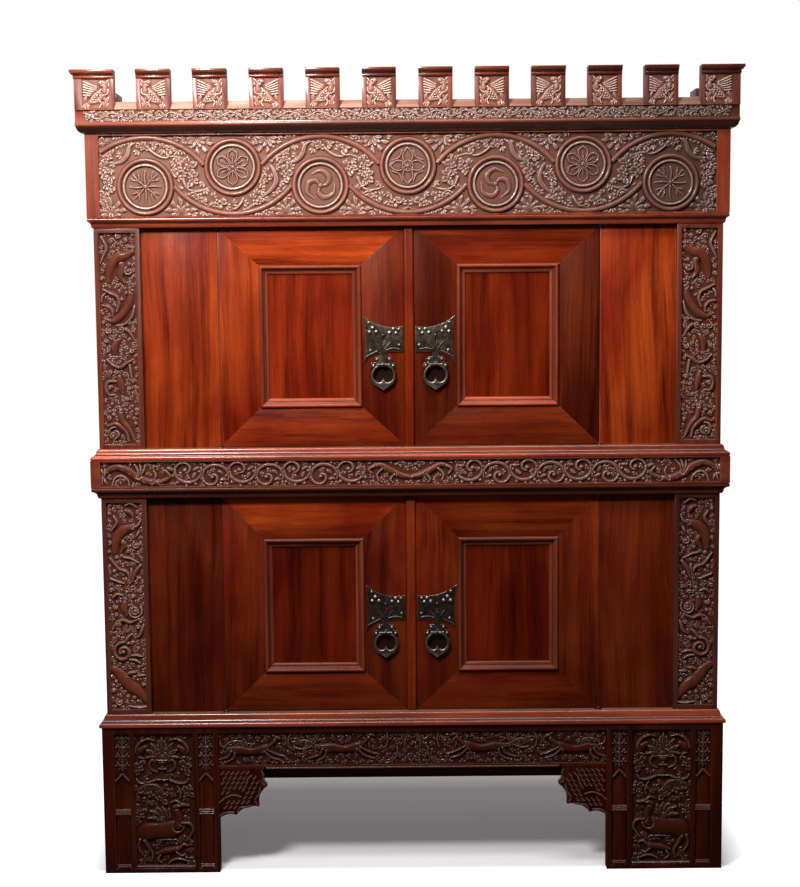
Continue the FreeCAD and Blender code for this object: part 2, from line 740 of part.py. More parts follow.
def make_panel(z0, z1, bottom_rail, top_rail):
    grow = PANEL_TONGUE - MOULDING_LAP
    return box(
        DOOR_INNER + LOCK_STILE - grow, DOOR_OUTER - HINGE_STILE + grow,
        FACE + PANEL_RECESS, FACE + PANEL_RECESS + PANEL_THICK,
        z0 + bottom_rail - grow, z1 - top_rail + grow,
    )


def moulding_section():
    """Raised moulding that laps the frame and drops to the panel: across, and proud of the frame."""
    points = [(across * MOULDING_WIDTH, proud * MOULDING_PROUD) for across, proud in PANEL_EDGE]
    return points + [(MOULDING_WIDTH, -PANEL_RECESS), (MOULDING_LAP, -PANEL_RECESS), (MOULDING_LAP, 0)]


def make_panel_moulding(z0, z1, bottom_rail, top_rail):
    """Four lengths mitred round the panel."""
    x0 = DOOR_INNER + LOCK_STILE
    x1 = DOOR_OUTER - HINGE_STILE
    low = z0 + bottom_rail
    high = z1 - top_rail
    wide = MOULDING_WIDTH
    along_x = Vector(x1 - x0, 0, 0)
    along_z = Vector(0, 0, high - low)
    corners = [(x0, low), (x1, low), (x1, high), (x0, high)]
    inside = [
        (x0 + wide, low + wide), (x1 - wide, low + wide), (x1 - wide, high - wide), (x0 + wide, high - wide),
    ]
    places = [
        (lambda d, h: Vector(x0, FACE - h, low + d), along_x),
        (lambda d, h: Vector(x1 - d, FACE - h, low), along_z),
        (lambda d, h: Vector(x0, FACE - h, high - d), along_x),
        (lambda d, h: Vector(x0 + d, FACE - h, low), along_z),
    ]
    lengths = []
    for side, (place, along) in enumerate(places):
        after = (side + 1) % 4
        mitre = [corners[side], corners[after], inside[after], inside[side]]
        length = outline_face(moulding_section(), place).extrude(along)
        length = length.common(upright_prism(mitre, FACE - DOOR_THICK, DOOR_BACK))
        lengths.append(length.Solids[0])
    return lengths


def lock_case_block(lock_z):
    return box(
        DOOR_INNER, DOOR_INNER + LOCK_CASE_LENGTH, DOOR_BACK - LOCK_CASE_THICK, DOOR_BACK,
        lock_z - LOCK_CASE_HALF, lock_z + LOCK_CASE_HALF,
    )


def make_bolt(lock_z, room):
    """Bolt drawn back flush with the door's edge; with room, the channel that it slides in."""
    start = DOOR_INNER if room else DOOR_INNER + BOLT_SETBACK
    end = DOOR_INNER + BOLT_SETBACK + BOLT_LENGTH + room
    deep = BOLT_THICK / 2 + room
    high = BOLT_HALF + room
    return box(start, end, LOCK_MID_Y - deep, LOCK_MID_Y + deep, lock_z - high, lock_z + high)


def make_lock_plate(lock_z):
    """Forged plate with horned corners on the panel side, a keyhole, and a leafy stem for the ring."""
    x0 = PLATE_X
    x1 = PLATE_X + LOCK_PLATE_WIDTH
    stem = LOCK_PLATE_STEM
    foot = lock_z - RING_DROP
    points = [
        (x0, lock_z - LOCK_PLATE_SHORT), (RING_X - stem, lock_z - LOCK_PLATE_SHORT, LOCK_PLATE_FOOT),
        (RING_X - stem, foot), (RING_X + stem, foot), (RING_X + stem, lock_z - LOCK_PLATE_SHORT),
        (x1, lock_z - LOCK_PLATE_HORN, LOCK_PLATE_HOLLOW), (x1, lock_z + LOCK_PLATE_HORN, LOCK_PLATE_SIDE),
        (x0, lock_z + LOCK_PLATE_SHORT, LOCK_PLATE_HOLLOW),
    ]
    plate = upright_prism(points, FACE - LOCK_PLATE_THICK, FACE)
    for side in (-1, 1):
        leaf = [(RING_X + side * away, lock_z - drop) for away, drop in LOCK_LEAF]
        plate = plate.fuse(upright_prism(leaf, FACE - LOCK_PLATE_THICK, FACE))
    keyhole = arc_points(RING_X, lock_z, KEYHOLE_R, -KEYHOLE_MOUTH, 180 + KEYHOLE_MOUTH, ROUND_STEPS)
    keyhole.append((RING_X - KEYHOLE_R / 2, lock_z - KEYHOLE_SLOT))
    keyhole.append((RING_X + KEYHOLE_R / 2, lock_z - KEYHOLE_SLOT))
    plate = plate.cut(upright_prism(keyhole, FACE - LOCK_PLATE_THICK, FACE))
    return plate.fuse(make_lug(foot)).removeSplitter()


def make_lug(level):
    """Eye that carries the ring pull."""
    start = Vector(RING_X - LUG_THICK / 2, RING_Y, level)
    points = arc_points(RING_Y, level, LUG_R, 270, 90, ROUND_STEPS)
    points.extend([(FACE, level + LUG_R), (FACE, level - LUG_R)])
    cheek = outline_face(points, lambda y, z: Vector(start.x, y, z)).extrude(Vector(LUG_THICK, 0, 0))
    return cheek.cut(rod(start, Vector(1, 0, 0), RING_PIVOT_R + PIN_FIT, LUG_THICK))


def make_ring(level):
    """Ring pull with a pointed foot and a heart-shaped opening, on a round pivot between two knuckles."""
    middle = level - RING_R + RING_BAND / 2
    outside = arc_points(RING_X, middle, RING_R, -RING_SHOULDER, 180 + RING_SHOULDER, RING_STEPS)
    outside.append((RING_X, middle - RING_R - RING_POINT))
    inside = arc_points(RING_X, middle, RING_R - RING_BAND, -RING_LOBE, 180 + RING_LOBE, RING_STEPS)
    inside.append((RING_X, middle - RING_CUSP))
    y0 = RING_Y - RING_THICK / 2
    y1 = RING_Y + RING_THICK / 2
    ring = upright_prism(outside, y0, y1).cut(upright_prism(inside, y0, y1))
    half = RING_PIVOT_LENGTH / 2
    gap = box(RING_X - half, RING_X + half, y0, y1, level - 2 * RING_BAND, level + 2 * RING_BAND)
    ring = ring.cut(gap)
    for x0 in (RING_X - half - RING_KNUCKLE, RING_X + half):
        ring = ring.fuse(box(x0, x0 + RING_KNUCKLE, y0, y1, level - RING_BAND, level + RING_THICK / 2))
    pivot = rod(Vector(RING_X - half, RING_Y, level), Vector(1, 0, 0), RING_PIVOT_R, RING_PIVOT_LENGTH)
    return ring.fuse(pivot).removeSplitter()


def build_base():
    foot = make_foot()
    save("base_foot_left", [mirrored(foot)])
    save("base_foot_right", [foot])
    save("base_sides", pair(make_base_side()))
    save("base_rails", [make_backing_rail(), make_rear_rail()])
    save("apron_board", [make_apron()])
    save("apron_brackets", pair(make_bracket()))
    save("base_moulding", surround(section(STEPPED, BASE_MOULDING_OUT, BASE_HEIGHT, FLOOR_THICK), 0, FLOOR_Z))


def build_case():
    floor = with_pockets(make_case_board(BASE_HEIGHT, FLOOR_Z), FLOOR_Z, 1)
    lower_ceiling = with_pockets(make_case_board(LOWER_TOP_Z, WAIST_Z), LOWER_TOP_Z, -1)
    upper_floor = with_pockets(make_case_board(WAIST_TOP_Z, UPPER_FLOOR_Z), UPPER_FLOOR_Z, 1)
    upper_ceiling = with_pockets(make_case_board(UPPER_TOP_Z, FRIEZE_Z), UPPER_TOP_Z, -1)
    save("floor_board", [floor])
    save("middle_boards", [lower_ceiling, upper_floor])
    save("ceiling_board", [upper_ceiling])
    save("top_board", [make_case_board(FRIEZE_TOP_Z, CREST_Z)])
    save("back_boards", make_back())
    flanks, sides, shelves, cleats, mullions, plates = [], [], [], [], [], []
    for stage, z0, z1, bottom_rail, top_rail, lock_height in STAGES:
        save(stage + "_uprights", pair(make_upright(z0, z1)))
        flanks.extend(pair(make_flank(z0, z1)))
        sides.extend(pair(make_case_side(z0, z1)))
        shelves.append(make_shelf(z0, z1))
        cleats.extend(pair(make_cleat(z0, z1)))
        mullions.append(make_mullion(z0, z1, z0 + DOOR_END_GAP + lock_height))
        plates.extend(pair(hinge_plate(z0, 1)) + pair(hinge_plate(z1, -1)))
    save("flank_boards", flanks)
    save("case_sides", sides)
    save("shelves", shelves)
    save("shelf_cleats", cleats)
    save("mullions", mullions)
    save("hinge_plates", plates)


def build_bands():
    waist_low = section(turned_over(STEPPED), WAIST_OUT, LOWER_TOP_Z, MIDDLE_THICK)
    waist_top = section(STEPPED, WAIST_OUT, WAIST_TOP_Z, MIDDLE_THICK)
    frieze_low = section(turned_over(STEPPED), FRIEZE_OUT, UPPER_TOP_Z, CEILING_THICK)
    cornice = section(COVE, CREST_OUT, FRIEZE_TOP_Z, CORNICE_HEIGHT)
    save("waist_board", make_waist())
    save("waist_mouldings", surround(waist_low, LOWER_TOP_Z, WAIST_Z)
         + surround(waist_top, WAIST_TOP_Z, UPPER_FLOOR_Z))
    save("frieze_board", make_frieze())
    centres = roundel_centres()
    save("frieze_roundels", [make_roundel(x, z) for x, z in centres])
    save("frieze_vine", make_vines(centres))
    save("frieze_mouldings", surround(frieze_low, UPPER_TOP_Z, FRIEZE_Z)
         + surround(cornice, FRIEZE_TOP_Z, CREST_Z))
    crest = make_front_crest()
    for piece in make_side_crest():
        crest.extend(pair(piece))
    save("crest_boards", crest)
    save("merlon_caps", make_caps())


def build_doors():
    for stage, floor, top, bottom_rail, top_rail, lock_height in STAGES:
        z0 = floor + DOOR_END_GAP
        z1 = top - DOOR_END_GAP
        lock_z = z0 + lock_height
        pivot_z = lock_z - RING_DROP
        pieces = {
            "frame": make_door_frame(z0, z1, bottom_rail, top_rail, lock_z),
            "panel": [make_panel(z0, z1, bottom_rail, top_rail)],
            "moulding": make_panel_moulding(z0, z1, bottom_rail, top_rail),
            "hinge_leaves": [hinge_leaf(z0), hinge_leaf(z1 - LEAF_THICK)],
            "lock_plate": [make_lock_plate(lock_z)],
            "lock_case": [lock_case_block(lock_z).cut(make_bolt(lock_z, BOLT_CLEAR))],
            "lock_bolt": [make_bolt(lock_z, 0)],
            "ring_pull": [make_ring(pivot_z)],
        }
        for piece, solids in pieces.items():
            save(stage + "_right_" + piece, solids)
            save(stage + "_left_" + piece, [mirrored(solid) for solid in solids])


os.makedirs("parts", exist_ok=True)
build_base()
build_case()
build_bands()
build_doors()
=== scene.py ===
# %% [markdown]
# A tall carved cupboard in two stages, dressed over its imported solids.
# The solids give every place and size; this script adds the carving, the mouldings, the ironwork and the finishes.
# Everything is in metres in the frame of the solids, with the doors facing -Y and Z up.

# %% Load the fixed frame
import math
import bmesh
import bpy
import numpy as np
from mathutils import Matrix, Vector


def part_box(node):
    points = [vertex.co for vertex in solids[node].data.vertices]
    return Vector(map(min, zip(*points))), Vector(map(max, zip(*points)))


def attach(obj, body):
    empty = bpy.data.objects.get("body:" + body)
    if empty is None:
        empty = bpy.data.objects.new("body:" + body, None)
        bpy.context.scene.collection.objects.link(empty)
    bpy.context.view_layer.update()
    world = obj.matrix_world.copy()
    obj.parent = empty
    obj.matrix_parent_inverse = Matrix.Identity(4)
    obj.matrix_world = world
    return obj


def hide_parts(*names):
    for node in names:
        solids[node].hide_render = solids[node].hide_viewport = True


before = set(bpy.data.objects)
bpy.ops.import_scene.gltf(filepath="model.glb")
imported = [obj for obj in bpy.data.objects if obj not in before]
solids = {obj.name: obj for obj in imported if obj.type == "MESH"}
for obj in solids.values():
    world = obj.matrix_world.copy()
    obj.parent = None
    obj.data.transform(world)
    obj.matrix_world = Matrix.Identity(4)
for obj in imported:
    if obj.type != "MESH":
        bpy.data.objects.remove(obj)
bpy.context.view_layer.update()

# %% [markdown]
# Node trees are wired by hand below, so a few short helpers keep each one readable.
# A socket passed as a value is linked; a plain number or colour is written into the socket.

# %% Helpers for nodes
FLOAT, VECTOR, GEOMETRY = "NodeSocketFloat", "NodeSocketVector", "NodeSocketGeometry"
OBJECT, MATERIAL = "NodeSocketObject", "NodeSocketMaterial"


def fed(tree, node, inputs):
    for key, value in inputs.items():
        if isinstance(value, bpy.types.NodeSocket):
            tree.links.new(value, node.inputs[key])
        else:
            node.inputs[key].default_value = value
    return node


def add(tree, kind, inputs=None, **settings):
    made = tree.nodes.new(kind)
    for key, value in settings.items():
        setattr(made, key, value)
    return fed(tree, made, inputs or {}).outputs


def new_group(name, kind, inputs, outputs):
    """A node group with its input sockets and its output node."""
    tree = bpy.data.node_groups.new(name, kind)
    for way, sockets in (("INPUT", inputs), ("OUTPUT", outputs)):
        for label, sort in sockets.items():
            tree.interface.new_socket(name=label, in_out=way, socket_type=sort)
    return tree, tree.nodes.new("NodeGroupInput").outputs, tree.nodes.new("NodeGroupOutput")


class Wiring:
    """Short names for the nodes of one shader tree. A plain colour is three numbers."""

    def __init__(self, tree):
        self.tree = tree

    def add(self, kind, inputs=None, **settings):
        return add(self.tree, "ShaderNode" + kind, inputs, **settings)

    def maths(self, operation, a, b=0.0, clamp=False):
        return self.add("Math", {0: a, 1: b}, operation=operation, use_clamp=clamp)[0]

    def times(self, a, b):
        return self.maths("MULTIPLY", a, b)

    def plus(self, a, b):
        return self.maths("ADD", a, b)

    def most(self, a, b):
        return self.maths("MAXIMUM", a, b)

    def mix(self, factor, a, b, mode="MIX"):
        a, b = ((*c, 1) if isinstance(c, tuple) else c for c in (a, b))
        return self.add("Mix", {0: factor, 6: a, 7: b}, data_type="RGBA", blend_type=mode)[2]

    def glaze(self, colour, mask, share, other):
        return self.mix(self.times(mask, share), colour, other)

    def ramp(self, value, low, high, to_low=0.0, to_high=1.0):
        return self.add("MapRange", {0: value, 1: low, 2: high, 3: to_low, 4: to_high})[0]

    def noise(self, vector, scale, detail=3.0, roughness=0.55, distortion=0.0):
        return self.add("TexNoise", {"Vector": vector, "Scale": scale, "Detail": detail,
                                     "Roughness": roughness, "Distortion": distortion})[0]

    def stretch(self, vector, scale):
        return self.add("VectorMath", {0: vector, 1: scale}, operation="MULTIPLY")[0]

    def axes(self, vector):
        return self.add("SeparateXYZ", {0: vector})

    def mark(self, name, output="Fac"):
        return self.add("Attribute", attribute_name=name)[output]


print("node helpers ready")

# %% [markdown]
# Walnut shows long streaks along the board, fine open pores, and soft clouds where the figure turns.
# Every board carries a vector attribute named board, with X along its own grain, so one group serves
# stiles, rails and mouldings alike and a mitre shows the change of direction.

# %% Shared effect: wood figure
figure, given, out = new_group("wood figure", "ShaderNodeTree", {"Board": VECTOR, "Streak scale": FLOAT},
                               {"Streaks": FLOAT, "Clouds": FLOAT, "Pores": FLOAT})
wire = Wiring(figure)
bend = wire.noise(wire.stretch(given["Board"], (1.6, 4.0, 4.0)), 1.0, 2.0)
sway = wire.add("CombineXYZ", {1: wire.times(bend, 0.06)})[0]
swayed = wire.add("VectorMath", {0: given["Board"], 1: sway}, operation="ADD")[0]
wide = wire.noise(wire.stretch(swayed, (1.4, 34.0, 34.0)), given["Streak scale"], 5.0, 0.6)
fine = wire.noise(wire.stretch(swayed, (7.0, 330.0, 330.0)), given["Streak scale"], 3.0, 0.6)
streaks = wire.plus(wire.times(wide, 0.68), wire.times(fine, 0.32))
clouds = wire.noise(wire.stretch(given["Board"], (3.2, 7.5, 7.5)), 1.0, 3.0, 0.5, 0.6)
dashes = wire.noise(wire.stretch(swayed, (46.0, 1300.0, 1300.0)), 1.0, 1.0)
fed(figure, out, {"Streaks": wire.ramp(streaks, 0.34, 0.66), "Clouds": wire.ramp(clouds, 0.32, 0.68),
                  "Pores": wire.ramp(dashes, 0.60, 0.72)})
print("group:", figure.name)

# %% [markdown]
# Age and light are painted the same way on wood and on iron: the hollows are darkened, as grime and as painted shade,
# the high spots are lightened, as rubbing by hands and dusters and as painted highlights, and a little dust lies on
# what faces up. One group turns the carved attributes and the surface direction into those masks, with a slow mottle
# for the rest.

# %% Shared effect: age, painted shade and painted highlights
age, given, out = new_group("age", "ShaderNodeTree", {"Board": VECTOR, "Hollow": FLOAT, "Ridge": FLOAT},
                            {"Grime": FLOAT, "Rubbed": FLOAT, "Dust": FLOAT, "Mottle": FLOAT})
wire = Wiring(age)
patches = wire.noise(given["Board"], 21.0, 4.0, 0.6)
specks = wire.noise(given["Board"], 160.0, 3.0, 0.6)
# darkened hollows: grime and painted shade
grime_and_shade = wire.times(given["Hollow"], wire.ramp(patches, 0.25, 0.75, 0.65, 1.25))
# lightened high spots: rubbing and painted highlights
rubbed_and_lit = wire.times(given["Ridge"], wire.ramp(specks, 0.30, 0.62, 0.35, 1.1))
upward = wire.axes(wire.add("NewGeometry")["Normal"])[2]
dust = wire.times(wire.ramp(upward, 0.55, 1.0), wire.ramp(patches, 0.35, 0.7))
fed(age, out, {"Grime": wire.maths("ADD", grime_and_shade, 0.0, True), "Rubbed": wire.maths("ADD", rubbed_and_lit, 0.0, True),
               "Dust": dust, "Mottle": wire.ramp(patches, 0.3, 0.7)})


def new_finish(name):
    """A material with the wiring of its tree and its shader node."""
    material = bpy.data.materials.new(name)
    material.use_nodes = True
    return material, Wiring(material.node_tree), material.node_tree.nodes["Principled BSDF"]


def aged_and_lit(wire, place):
    return wire.add("Group", {"Board": place, "Hollow": wire.mark("hollow"), "Ridge": wire.mark("ridge")},
                    node_tree=age)


print("group:", age.name)

# %% [markdown]
# The doors, flanks and sides are french polished: saturated red brown, streaked, with a thin clear coat.
# Mouldings use the same tree with a darker stain. Boards inside are bare, paler and dull.
# Tone is a number carried by each board, because the lower stage is much darker than the upper one: partly a darker
# stain, partly painted shade for the light falling off towards the floor.
# Behind each hanging ring the doors carry a painted shadow: a dark round on their front.

# %% Finish: polished, moulded and bare wood
# glaze colours: soot and painted shade for the hollows, the painted shadow behind the rings, and house dust
SOOT_AND_SHADE, RING_SHADOW, HOUSE_DUST = (0.012, 0.007, 0.005), (0.014, 0.006, 0.004), (0.34, 0.28, 0.24)
RING_SHADOW_X, RING_SHADOW_LEVELS = 0.0665, (0.597, 1.289)


def painted_ring_shadows(wire, colour):
    """Painted shadows: dark rounds on the doors' front behind the hanging rings."""
    place = wire.axes(wire.add("TexCoord")["Object"])
    across = wire.maths("SUBTRACT", wire.maths("ABSOLUTE", place[0]), RING_SHADOW_X)
    for level in RING_SHADOW_LEVELS:
        off = wire.add("CombineXYZ", {0: across, 2: wire.maths("SUBTRACT", place[2], level)})[0]
        away = wire.add("VectorMath", {0: off}, operation="LENGTH")["Value"]
        # painted shadow: darkest close round the ring, on the door's front face only
        shadow_mask = wire.times(wire.ramp(away, 0.022, 0.042, 0.92, 0.0), wire.ramp(place[1], -0.200, -0.206))
        colour = wire.mix(shadow_mask, colour, RING_SHADOW)
    return colour


def wood_finish(name, light, mid, dark, dull, coat, gloss=0.25, streak_scale=1.0, bump=0.12, ring_shadows=False):
    material, wire, shader = new_finish(name)
    board, tone = wire.mark("board", "Vector"), wire.mark("tone", "Color")
    grain = wire.add("Group", {"Board": board, "Streak scale": streak_scale}, node_tree=figure)
    wear_and_light = aged_and_lit(wire, board)
    colour = wire.mix(grain["Streaks"], dark, mid)
    colour = wire.mix(wire.times(grain["Clouds"], grain["Streaks"]), colour, light)
    colour = wire.glaze(colour, grain["Pores"], 0.55, tuple(c * 0.35 for c in dark))
    colour = wire.mix(1.0, colour, tone, "MULTIPLY")
    # painted shade and soot in the marked hollows
    colour = wire.glaze(colour, wear_and_light["Grime"], 0.85, SOOT_AND_SHADE)
    if ring_shadows:
        colour = painted_ring_shadows(wire, colour)
    # painted highlight and rubbing: the wood's light colour on the marked ridges
    colour = wire.glaze(colour, wear_and_light["Rubbed"], 0.35, wire.mix(1.0, light, tone, "MULTIPLY"))
    colour = wire.glaze(colour, wear_and_light["Dust"], 0.10, HOUSE_DUST)
    rough = dull
    for mask, share in ((wear_and_light["Mottle"], 0.10), (grain["Pores"], 0.08), (wear_and_light["Dust"], 0.15)):
        rough = wire.plus(rough, wire.times(mask, share))
    height = wire.maths("SUBTRACT", wire.times(grain["Streaks"], 0.3), grain["Pores"])
    bumped = wire.add("Bump", {"Strength": bump, "Distance": 0.0004, "Height": height})[0]
    fed(wire.tree, shader, {"Base Color": colour, "Roughness": rough, "Normal": bumped, "Coat Weight": coat,
                            "Coat Roughness": 0.16, "Specular IOR Level": gloss})
    return material


# the painted ring shadows sit at these heights
print("stains at", RING_SHADOW_LEVELS, "m")

# %% [markdown]
# Nine woods come from that one tree. Each has a light, a middle and a dark colour, then its roughness, the weight of
# its clear coat and its gloss.

# %% Woods
BROWN = (0.40, 0.078, 0.032), (0.25, 0.040, 0.015), (0.10, 0.014, 0.006)
polished = wood_finish("polished_walnut", (0.55, 0.084, 0.012), (0.30, 0.020, 0.003), (0.09, 0.005, 0.001),
                       0.36, 0.02, 0.10, ring_shadows=True)
panel_wood = wood_finish("panel_walnut", (0.52, 0.054, 0.006), (0.30, 0.015, 0.002), (0.09, 0.004, 0.001),
                         0.36, 0.02, 0.07)
moulded = wood_finish("moulded_walnut", (0.50, 0.085, 0.028), (0.31, 0.042, 0.013), (0.12, 0.013, 0.005),
                      0.24, 0.65, 0.35)
band = wood_finish("band_walnut", *BROWN, 0.38, 0.08, 0.2)
# the sill faces up and its wood is painted pale: a painted highlight
lit_sill_wood = wood_finish("sill_walnut", (0.80, 0.47, 0.37), (0.62, 0.29, 0.20), (0.30, 0.10, 0.05), 0.40, 0.10, 0.3)
frame_wood = wood_finish("frame_walnut", *BROWN, 0.36, 0.55, 0.45)
crest_wood = wood_finish("crest_walnut", (0.40, 0.088, 0.040), (0.25, 0.045, 0.019), (0.10, 0.014, 0.006),
                         0.40, 0.40, 0.55)
bare = wood_finish("inner_boards", (0.34, 0.19, 0.10), (0.22, 0.11, 0.055), (0.11, 0.05, 0.025), 0.62, 0.0,
                   streak_scale=1.3, bump=0.3)
# bevelled edges: lighter as rubbed wood and as a painted highlight line
worn_and_lit_edge = wood_finish("rubbed_edges", (0.62, 0.19, 0.085), (0.42, 0.10, 0.042), (0.22, 0.040, 0.015), 0.24, 0.4)
print("finishes:", *(wood.name for wood in (polished, panel_wood, moulded, band, lit_sill_wood, frame_wood,
                                            crest_wood, bare, worn_and_lit_edge)))

# %% [markdown]
# Carving is waxed, not polished: a grey-brown ground, browner leaves, and smooth bodies rubbed back to red.
# The carved meshes carry how high each point stands (relief), how deep it lies between its neighbours
# (hollow), how sharp it is (ridge) and where the smooth red forms are (red).

# %% Finish: carved wood
# pale colour of the painted highlights and rubbing on the carving's crests
LIT_AND_RUBBED_WOOD = (0.76, 0.52, 0.43)


def carved_finish(name, low, high, deep, smooth_dark, smooth_light, coat, gloss):
    material, wire, shader = new_finish(name)
    board, tone, raised = wire.mark("board", "Vector"), wire.mark("tone", "Color"), wire.mark("relief")
    grain = wire.add("Group", {"Board": board, "Streak scale": 1.2}, node_tree=figure)
    wear_and_light = aged_and_lit(wire, board)
    smooth = wire.mix(grain["Streaks"], smooth_dark, smooth_light)
    redness = wire.times(wire.mark("red"), wire.ramp(grain["Clouds"], 0, 1, 0.7, 1.0))
    colour = wire.mix(redness, wire.mix(raised, low, high), smooth)
    colour = wire.glaze(colour, grain["Pores"], 0.35, deep)
    colour = wire.glaze(colour, wear_and_light["Mottle"], 0.30, smooth_dark)
    colour = wire.mix(1.0, colour, tone, "MULTIPLY")
    # painted shade and grime: near black in the hollows between the forms
    colour = wire.glaze(colour, wear_and_light["Grime"], 0.92, deep)
    # painted highlight and rubbing on the crests
    colour = wire.glaze(colour, wear_and_light["Rubbed"], 0.9, wire.mix(1.0, LIT_AND_RUBBED_WOOD, tone, "MULTIPLY"))
    rough = wire.plus(wire.ramp(wear_and_light["Rubbed"], 0.0, 1.0, 0.42, 0.24), wire.times(wear_and_light["Grime"], 0.25))
    height = wire.times(wire.noise(board, 420.0, 2.0, 0.6), wire.ramp(raised, 0.0, 0.35, 1.0, 0.15))
    bumped = wire.add("Bump", {"Strength": 0.35, "Distance": 0.0009, "Height": height})[0]
    fed(wire.tree, shader, {"Base Color": colour, "Roughness": rough, "Normal": bumped,
                            "Coat Weight": wire.ramp(wear_and_light["Rubbed"], 0.0, 0.8, gloss * coat, coat),
                            "Coat Roughness": 0.14, "Specular IOR Level": gloss})
    return material


carved = carved_finish("carved_walnut", (0.212, 0.086, 0.052), (0.325, 0.145, 0.096), (0.018, 0.005, 0.0025),
                       (0.190, 0.046, 0.024), (0.350, 0.098, 0.054), 0.9, 0.3)
carved_red = carved_finish("carved_walnut_red", (0.216, 0.056, 0.031), (0.338, 0.104, 0.061),
                           (0.014, 0.003, 0.0012), (0.190, 0.034, 0.014), (0.360, 0.080, 0.038), 0.9, 0.13)
carved_dark = carved_finish("carved_walnut_dark", (0.220, 0.052, 0.028), (0.330, 0.090, 0.052),
                            (0.008, 0.002, 0.0008), (0.200, 0.026, 0.010), (0.340, 0.052, 0.020), 0.5, 0.08)
print("finishes:", carved.name, carved_red.name, carved_dark.name)

# %% [markdown]
# The locks, rings and hinges are blackened iron: hammered, brown in the hollows, and pale where they rub and where a
# highlight is painted.

# %% Finish: forged iron
RUST, LIT_AND_RUBBED_IRON = (0.060, 0.032, 0.020), (0.72, 0.64, 0.56)


def iron_finish(name, dark, bright, dull):
    material, wire, shader = new_finish(name)
    place = wire.add("TexCoord")["Object"]
    wear_and_light = aged_and_lit(wire, place)
    hammer = wire.add("TexVoronoi", {"Vector": place, "Scale": 190.0}, feature="SMOOTH_F1")[0]
    scale = wire.noise(place, 90.0, 4.0, 0.65)
    colour = wire.mix(wire.ramp(scale, 0.35, 0.65), dark, bright)
    colour = wire.glaze(colour, wear_and_light["Mottle"], 0.45, RUST)
    # painted highlight and rubbing on the proud parts
    colour = wire.glaze(colour, wear_and_light["Rubbed"], 0.75, LIT_AND_RUBBED_IRON)
    height = wire.plus(wire.times(hammer, 0.8), wire.times(scale, 0.4))
    bumped = wire.add("Bump", {"Strength": 0.5, "Distance": 0.0011, "Height": height})[0]
    fed(wire.tree, shader, {"Base Color": colour, "Roughness": wire.plus(dull, wire.times(scale, 0.22)),
                            "Normal": bumped, "Metallic": 0.85})
    return material


iron = iron_finish("forged_iron", (0.050, 0.034, 0.022), (0.150, 0.110, 0.080), 0.32)
# the lower locks are darker, partly as painted shade like the lower stage they hang on
iron_low = iron_finish("forged_iron_dark", (0.024, 0.018, 0.011), (0.080, 0.062, 0.046), 0.32)
# filed edges: paler as rubbed iron and as a painted highlight line
iron_edge = iron_finish("forged_iron_edges", (0.26, 0.21, 0.17), (0.60, 0.52, 0.45), 0.24)
print("finishes:", iron.name, iron_low.name, iron_edge.name)

# %% [markdown]
# Sizes that the solids fix, in millimetres: the planes of the case, and the levels of its parts, which are read
# from the boxes of the solids.

# %% Planes and levels
def level(node, end):
    """The foot (0) or the top (1) of a solid."""
    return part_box(node)[end][2] * 1000


HALF, FRONT, REAR, FACE = 790.0, -228.0, 255.0, -210.0
BASE_Z, FLOOR_Z = level("base_foot_right", 1), level("floor_board", 1)
LOWER_TOP, UPPER_FLOOR = level("middle_boards", 0), level("middle_boards", 1)
WAIST_Z, WAIST_TOP = level("waist_board", 0), level("waist_board", 1)
UPPER_TOP, CREST_Z = level("ceiling_board", 0), level("top_board", 1)
FRIEZE_Z, FRIEZE_TOP = level("frieze_board", 0), level("frieze_board", 1)
CAP_Z, TOP_Z = level("merlon_caps", 0), level("merlon_caps", 1)
print("levels:", [round(z) for z in (BASE_Z, FLOOR_Z, LOWER_TOP, WAIST_Z, WAIST_TOP, UPPER_FLOOR, UPPER_TOP,
                                     FRIEZE_Z, FRIEZE_TOP, CREST_Z, CAP_Z, TOP_Z)])

# %% [markdown]
# Straight pieces of joinery are skins over a few outlines: a stile between its mitres, a moulding between its
# corners, a board with a sunk field. The bench below collects such lengths into one mesh and gives each its own
# grain, so that no two boards repeat the same figure.

# %% A bench for straight lengths
AXES = {"x": (0, 1, 2), "y": (1, 0, 2), "z": (2, 0, 1)}


def new_mesh(name, points, faces=(), edges=()):
    """A mesh from points in millimetres."""
    mesh = bpy.data.meshes.new(name)
    mesh.from_pydata((np.array(points) / 1000).tolist(), list(edges), list(faces))
    return mesh


def write_marks(mesh, boards, tones, **values):
    """The attributes that the finishes read."""
    tones = np.asarray(tones, np.float32)
    tints = np.stack([tones, tones, tones, np.ones_like(tones)], 1)
    marks = [("board", "FLOAT_VECTOR", "vector", boards), ("tone", "FLOAT_COLOR", "color", tints)]
    for key, kind, field, numbers in marks + [(key, "FLOAT", "value", v) for key, v in values.items()]:
        data = mesh.attributes.new(key, kind, "POINT").data
        data.foreach_set(field, np.asarray(numbers, np.float32).ravel())


def outward(mesh, weld=False):
    """The same mesh with its faces turned outward."""
    built = bmesh.new()
    built.from_mesh(mesh)
    if weld:
        bmesh.ops.remove_doubles(built, verts=built.verts, dist=0.000001)
    bmesh.ops.recalc_face_normals(built, faces=built.faces)
    built.to_mesh(mesh)
    built.free()
    return mesh


